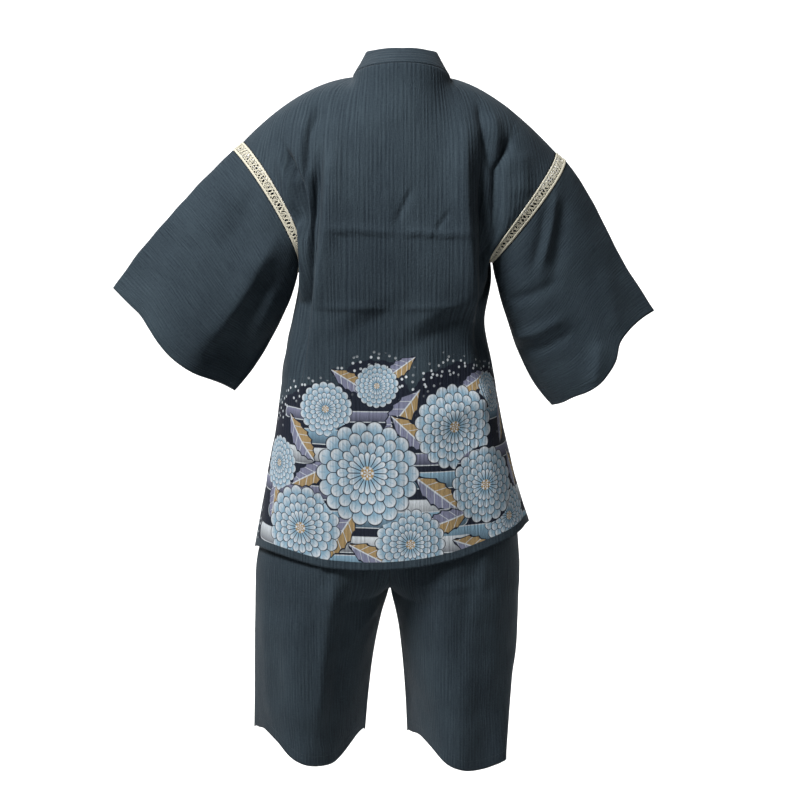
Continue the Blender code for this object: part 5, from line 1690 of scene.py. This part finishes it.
class JINBEI_OT_stage(Operator):
    """Makes the floor and backdrop, the lights and the camera"""

    bl_idname = "jinbei.stage"
    bl_label = "Stage"

    def execute(self, context):
        look = context.scene.jinbei_stage
        scene = context.scene
        self.backdrop(look)
        self.lights(scene, look)
        camera = bpy.data.objects.new("camera", bpy.data.cameras.new("camera"))
        scene.collection.objects.link(camera)
        camera.location = CAMERA_PLACE
        camera.rotation_euler = (math.pi / 2 - CAMERA_DOWN, 0.0, math.pi)
        camera.data.lens = CAMERA_LENS
        camera.data.clip_end = 60.0
        scene.camera = camera
        scene.view_settings.view_transform = "Standard"
        return {"FINISHED"}

    def backdrop(self, look):
        """A floor that sweeps up behind the set into a wall."""
        rows = []
        for k in range(SWEEP_STEPS + 1):
            turn = k / SWEEP_STEPS * math.pi / 2
            rise = SWEEP_RADIUS * (1 - math.cos(turn))
            rows.append((SWEEP_START - SWEEP_RADIUS * math.sin(turn), -FLOOR_DROP + rise))
        profile = [(FLOOR_REACH, -FLOOR_DROP)] + rows + [(SWEEP_START - SWEEP_RADIUS, WALL_TOP)]
        points, faces = [], []
        for y, z in profile:
            points += [(-FLOOR_REACH, y, z), (FLOOR_REACH, y, z)]
        for k in range(len(profile) - 1):
            faces.append((2 * k, 2 * k + 1, 2 * k + 3, 2 * k + 2))
        mesh = bpy.data.meshes.new("backdrop")
        mesh.from_pydata(points, [], faces)
        mesh.shade_smooth()
        finish, shader, _ = new_finish("backdrop_paper", roughness=0.95)
        shader.inputs["Base Color"].default_value = tuple(look.paper)
        mesh.materials.append(finish)
        sweep = bpy.data.objects.new("backdrop", mesh)
        bpy.context.scene.collection.objects.link(sweep)

    def lights(self, scene, look):
        world = scene.world or bpy.data.worlds.new("sky")
        scene.world = world
        world.use_nodes = True
        sky = world.node_tree.nodes["Background"]
        sky.inputs["Color"].default_value = (1.0, 1.0, 1.0, 1.0)
        sky.inputs["Strength"].default_value = look.sky
        for row in LAMPS:
            lamp = bpy.data.lights.new(row.name, "AREA")
            lamp.energy = getattr(look, row.power)
            lamp.shape = "DISK"
            lamp.size = row.size
            lamp.spread = math.radians(row.spread)
            lit = bpy.data.objects.new(row.name, lamp)
            scene.collection.objects.link(lit)
            lit.location = row.place
            lit.rotation_euler = (Vector(row.aim) - Vector(row.place)).to_track_quat("-Z", "Y").to_euler()


class JINBEI_PT_panel(Panel):
    """Lists the set's pieces and its stage"""

    bl_label = "Jinbei set"
    bl_idname = "JINBEI_PT_panel"
    bl_space_type = "VIEW_3D"
    bl_region_type = "UI"
    bl_category = "Jinbei"

    def draw(self, context):
        for name in LOOKS:
            box = self.layout.box()
            look = getattr(context.scene, name)
            for key in look.__annotations__:
                box.prop(look, key)
        for operator in OPERATORS:
            self.layout.operator(operator.bl_idname)


LOOKS = {
    "jinbei_cloth": ClothSizes,
    "jinbei_crepe": CrepeLook,
    "jinbei_print": PrintLook,
    "jinbei_lace": LaceLook,
    "jinbei_sewing": SewingLook,
    "jinbei_stage": StageLook,
}
OPERATORS = (
    JINBEI_OT_back, JINBEI_OT_fronts, JINBEI_OT_neckband, JINBEI_OT_sleeves, JINBEI_OT_lace, JINBEI_OT_shorts,
    JINBEI_OT_waistband, JINBEI_OT_tie, JINBEI_OT_stage,
)


def register():
    for group in LOOKS.values():
        bpy.utils.register_class(group)
    for name, group in LOOKS.items():
        setattr(bpy.types.Scene, name, PointerProperty(type=group))
    for operator in (*OPERATORS, JINBEI_PT_panel):
        bpy.utils.register_class(operator)


def unregister():
    for operator in reversed((*OPERATORS, JINBEI_PT_panel)):
        bpy.utils.unregister_class(operator)
    for name in LOOKS:
        delattr(bpy.types.Scene, name)
    for group in reversed(list(LOOKS.values())):
        bpy.utils.unregister_class(group)


def main():
    for old in list(bpy.data.objects):
        if old.type in ("CAMERA", "LIGHT"):
            bpy.data.objects.remove(old, do_unlink=True)
    register()
    for name in ("back", "fronts", "neckband", "sleeves", "lace", "shorts", "waistband", "tie", "stage"):
        getattr(bpy.ops.jinbei, name)()


if __name__ == "__main__":
    main()
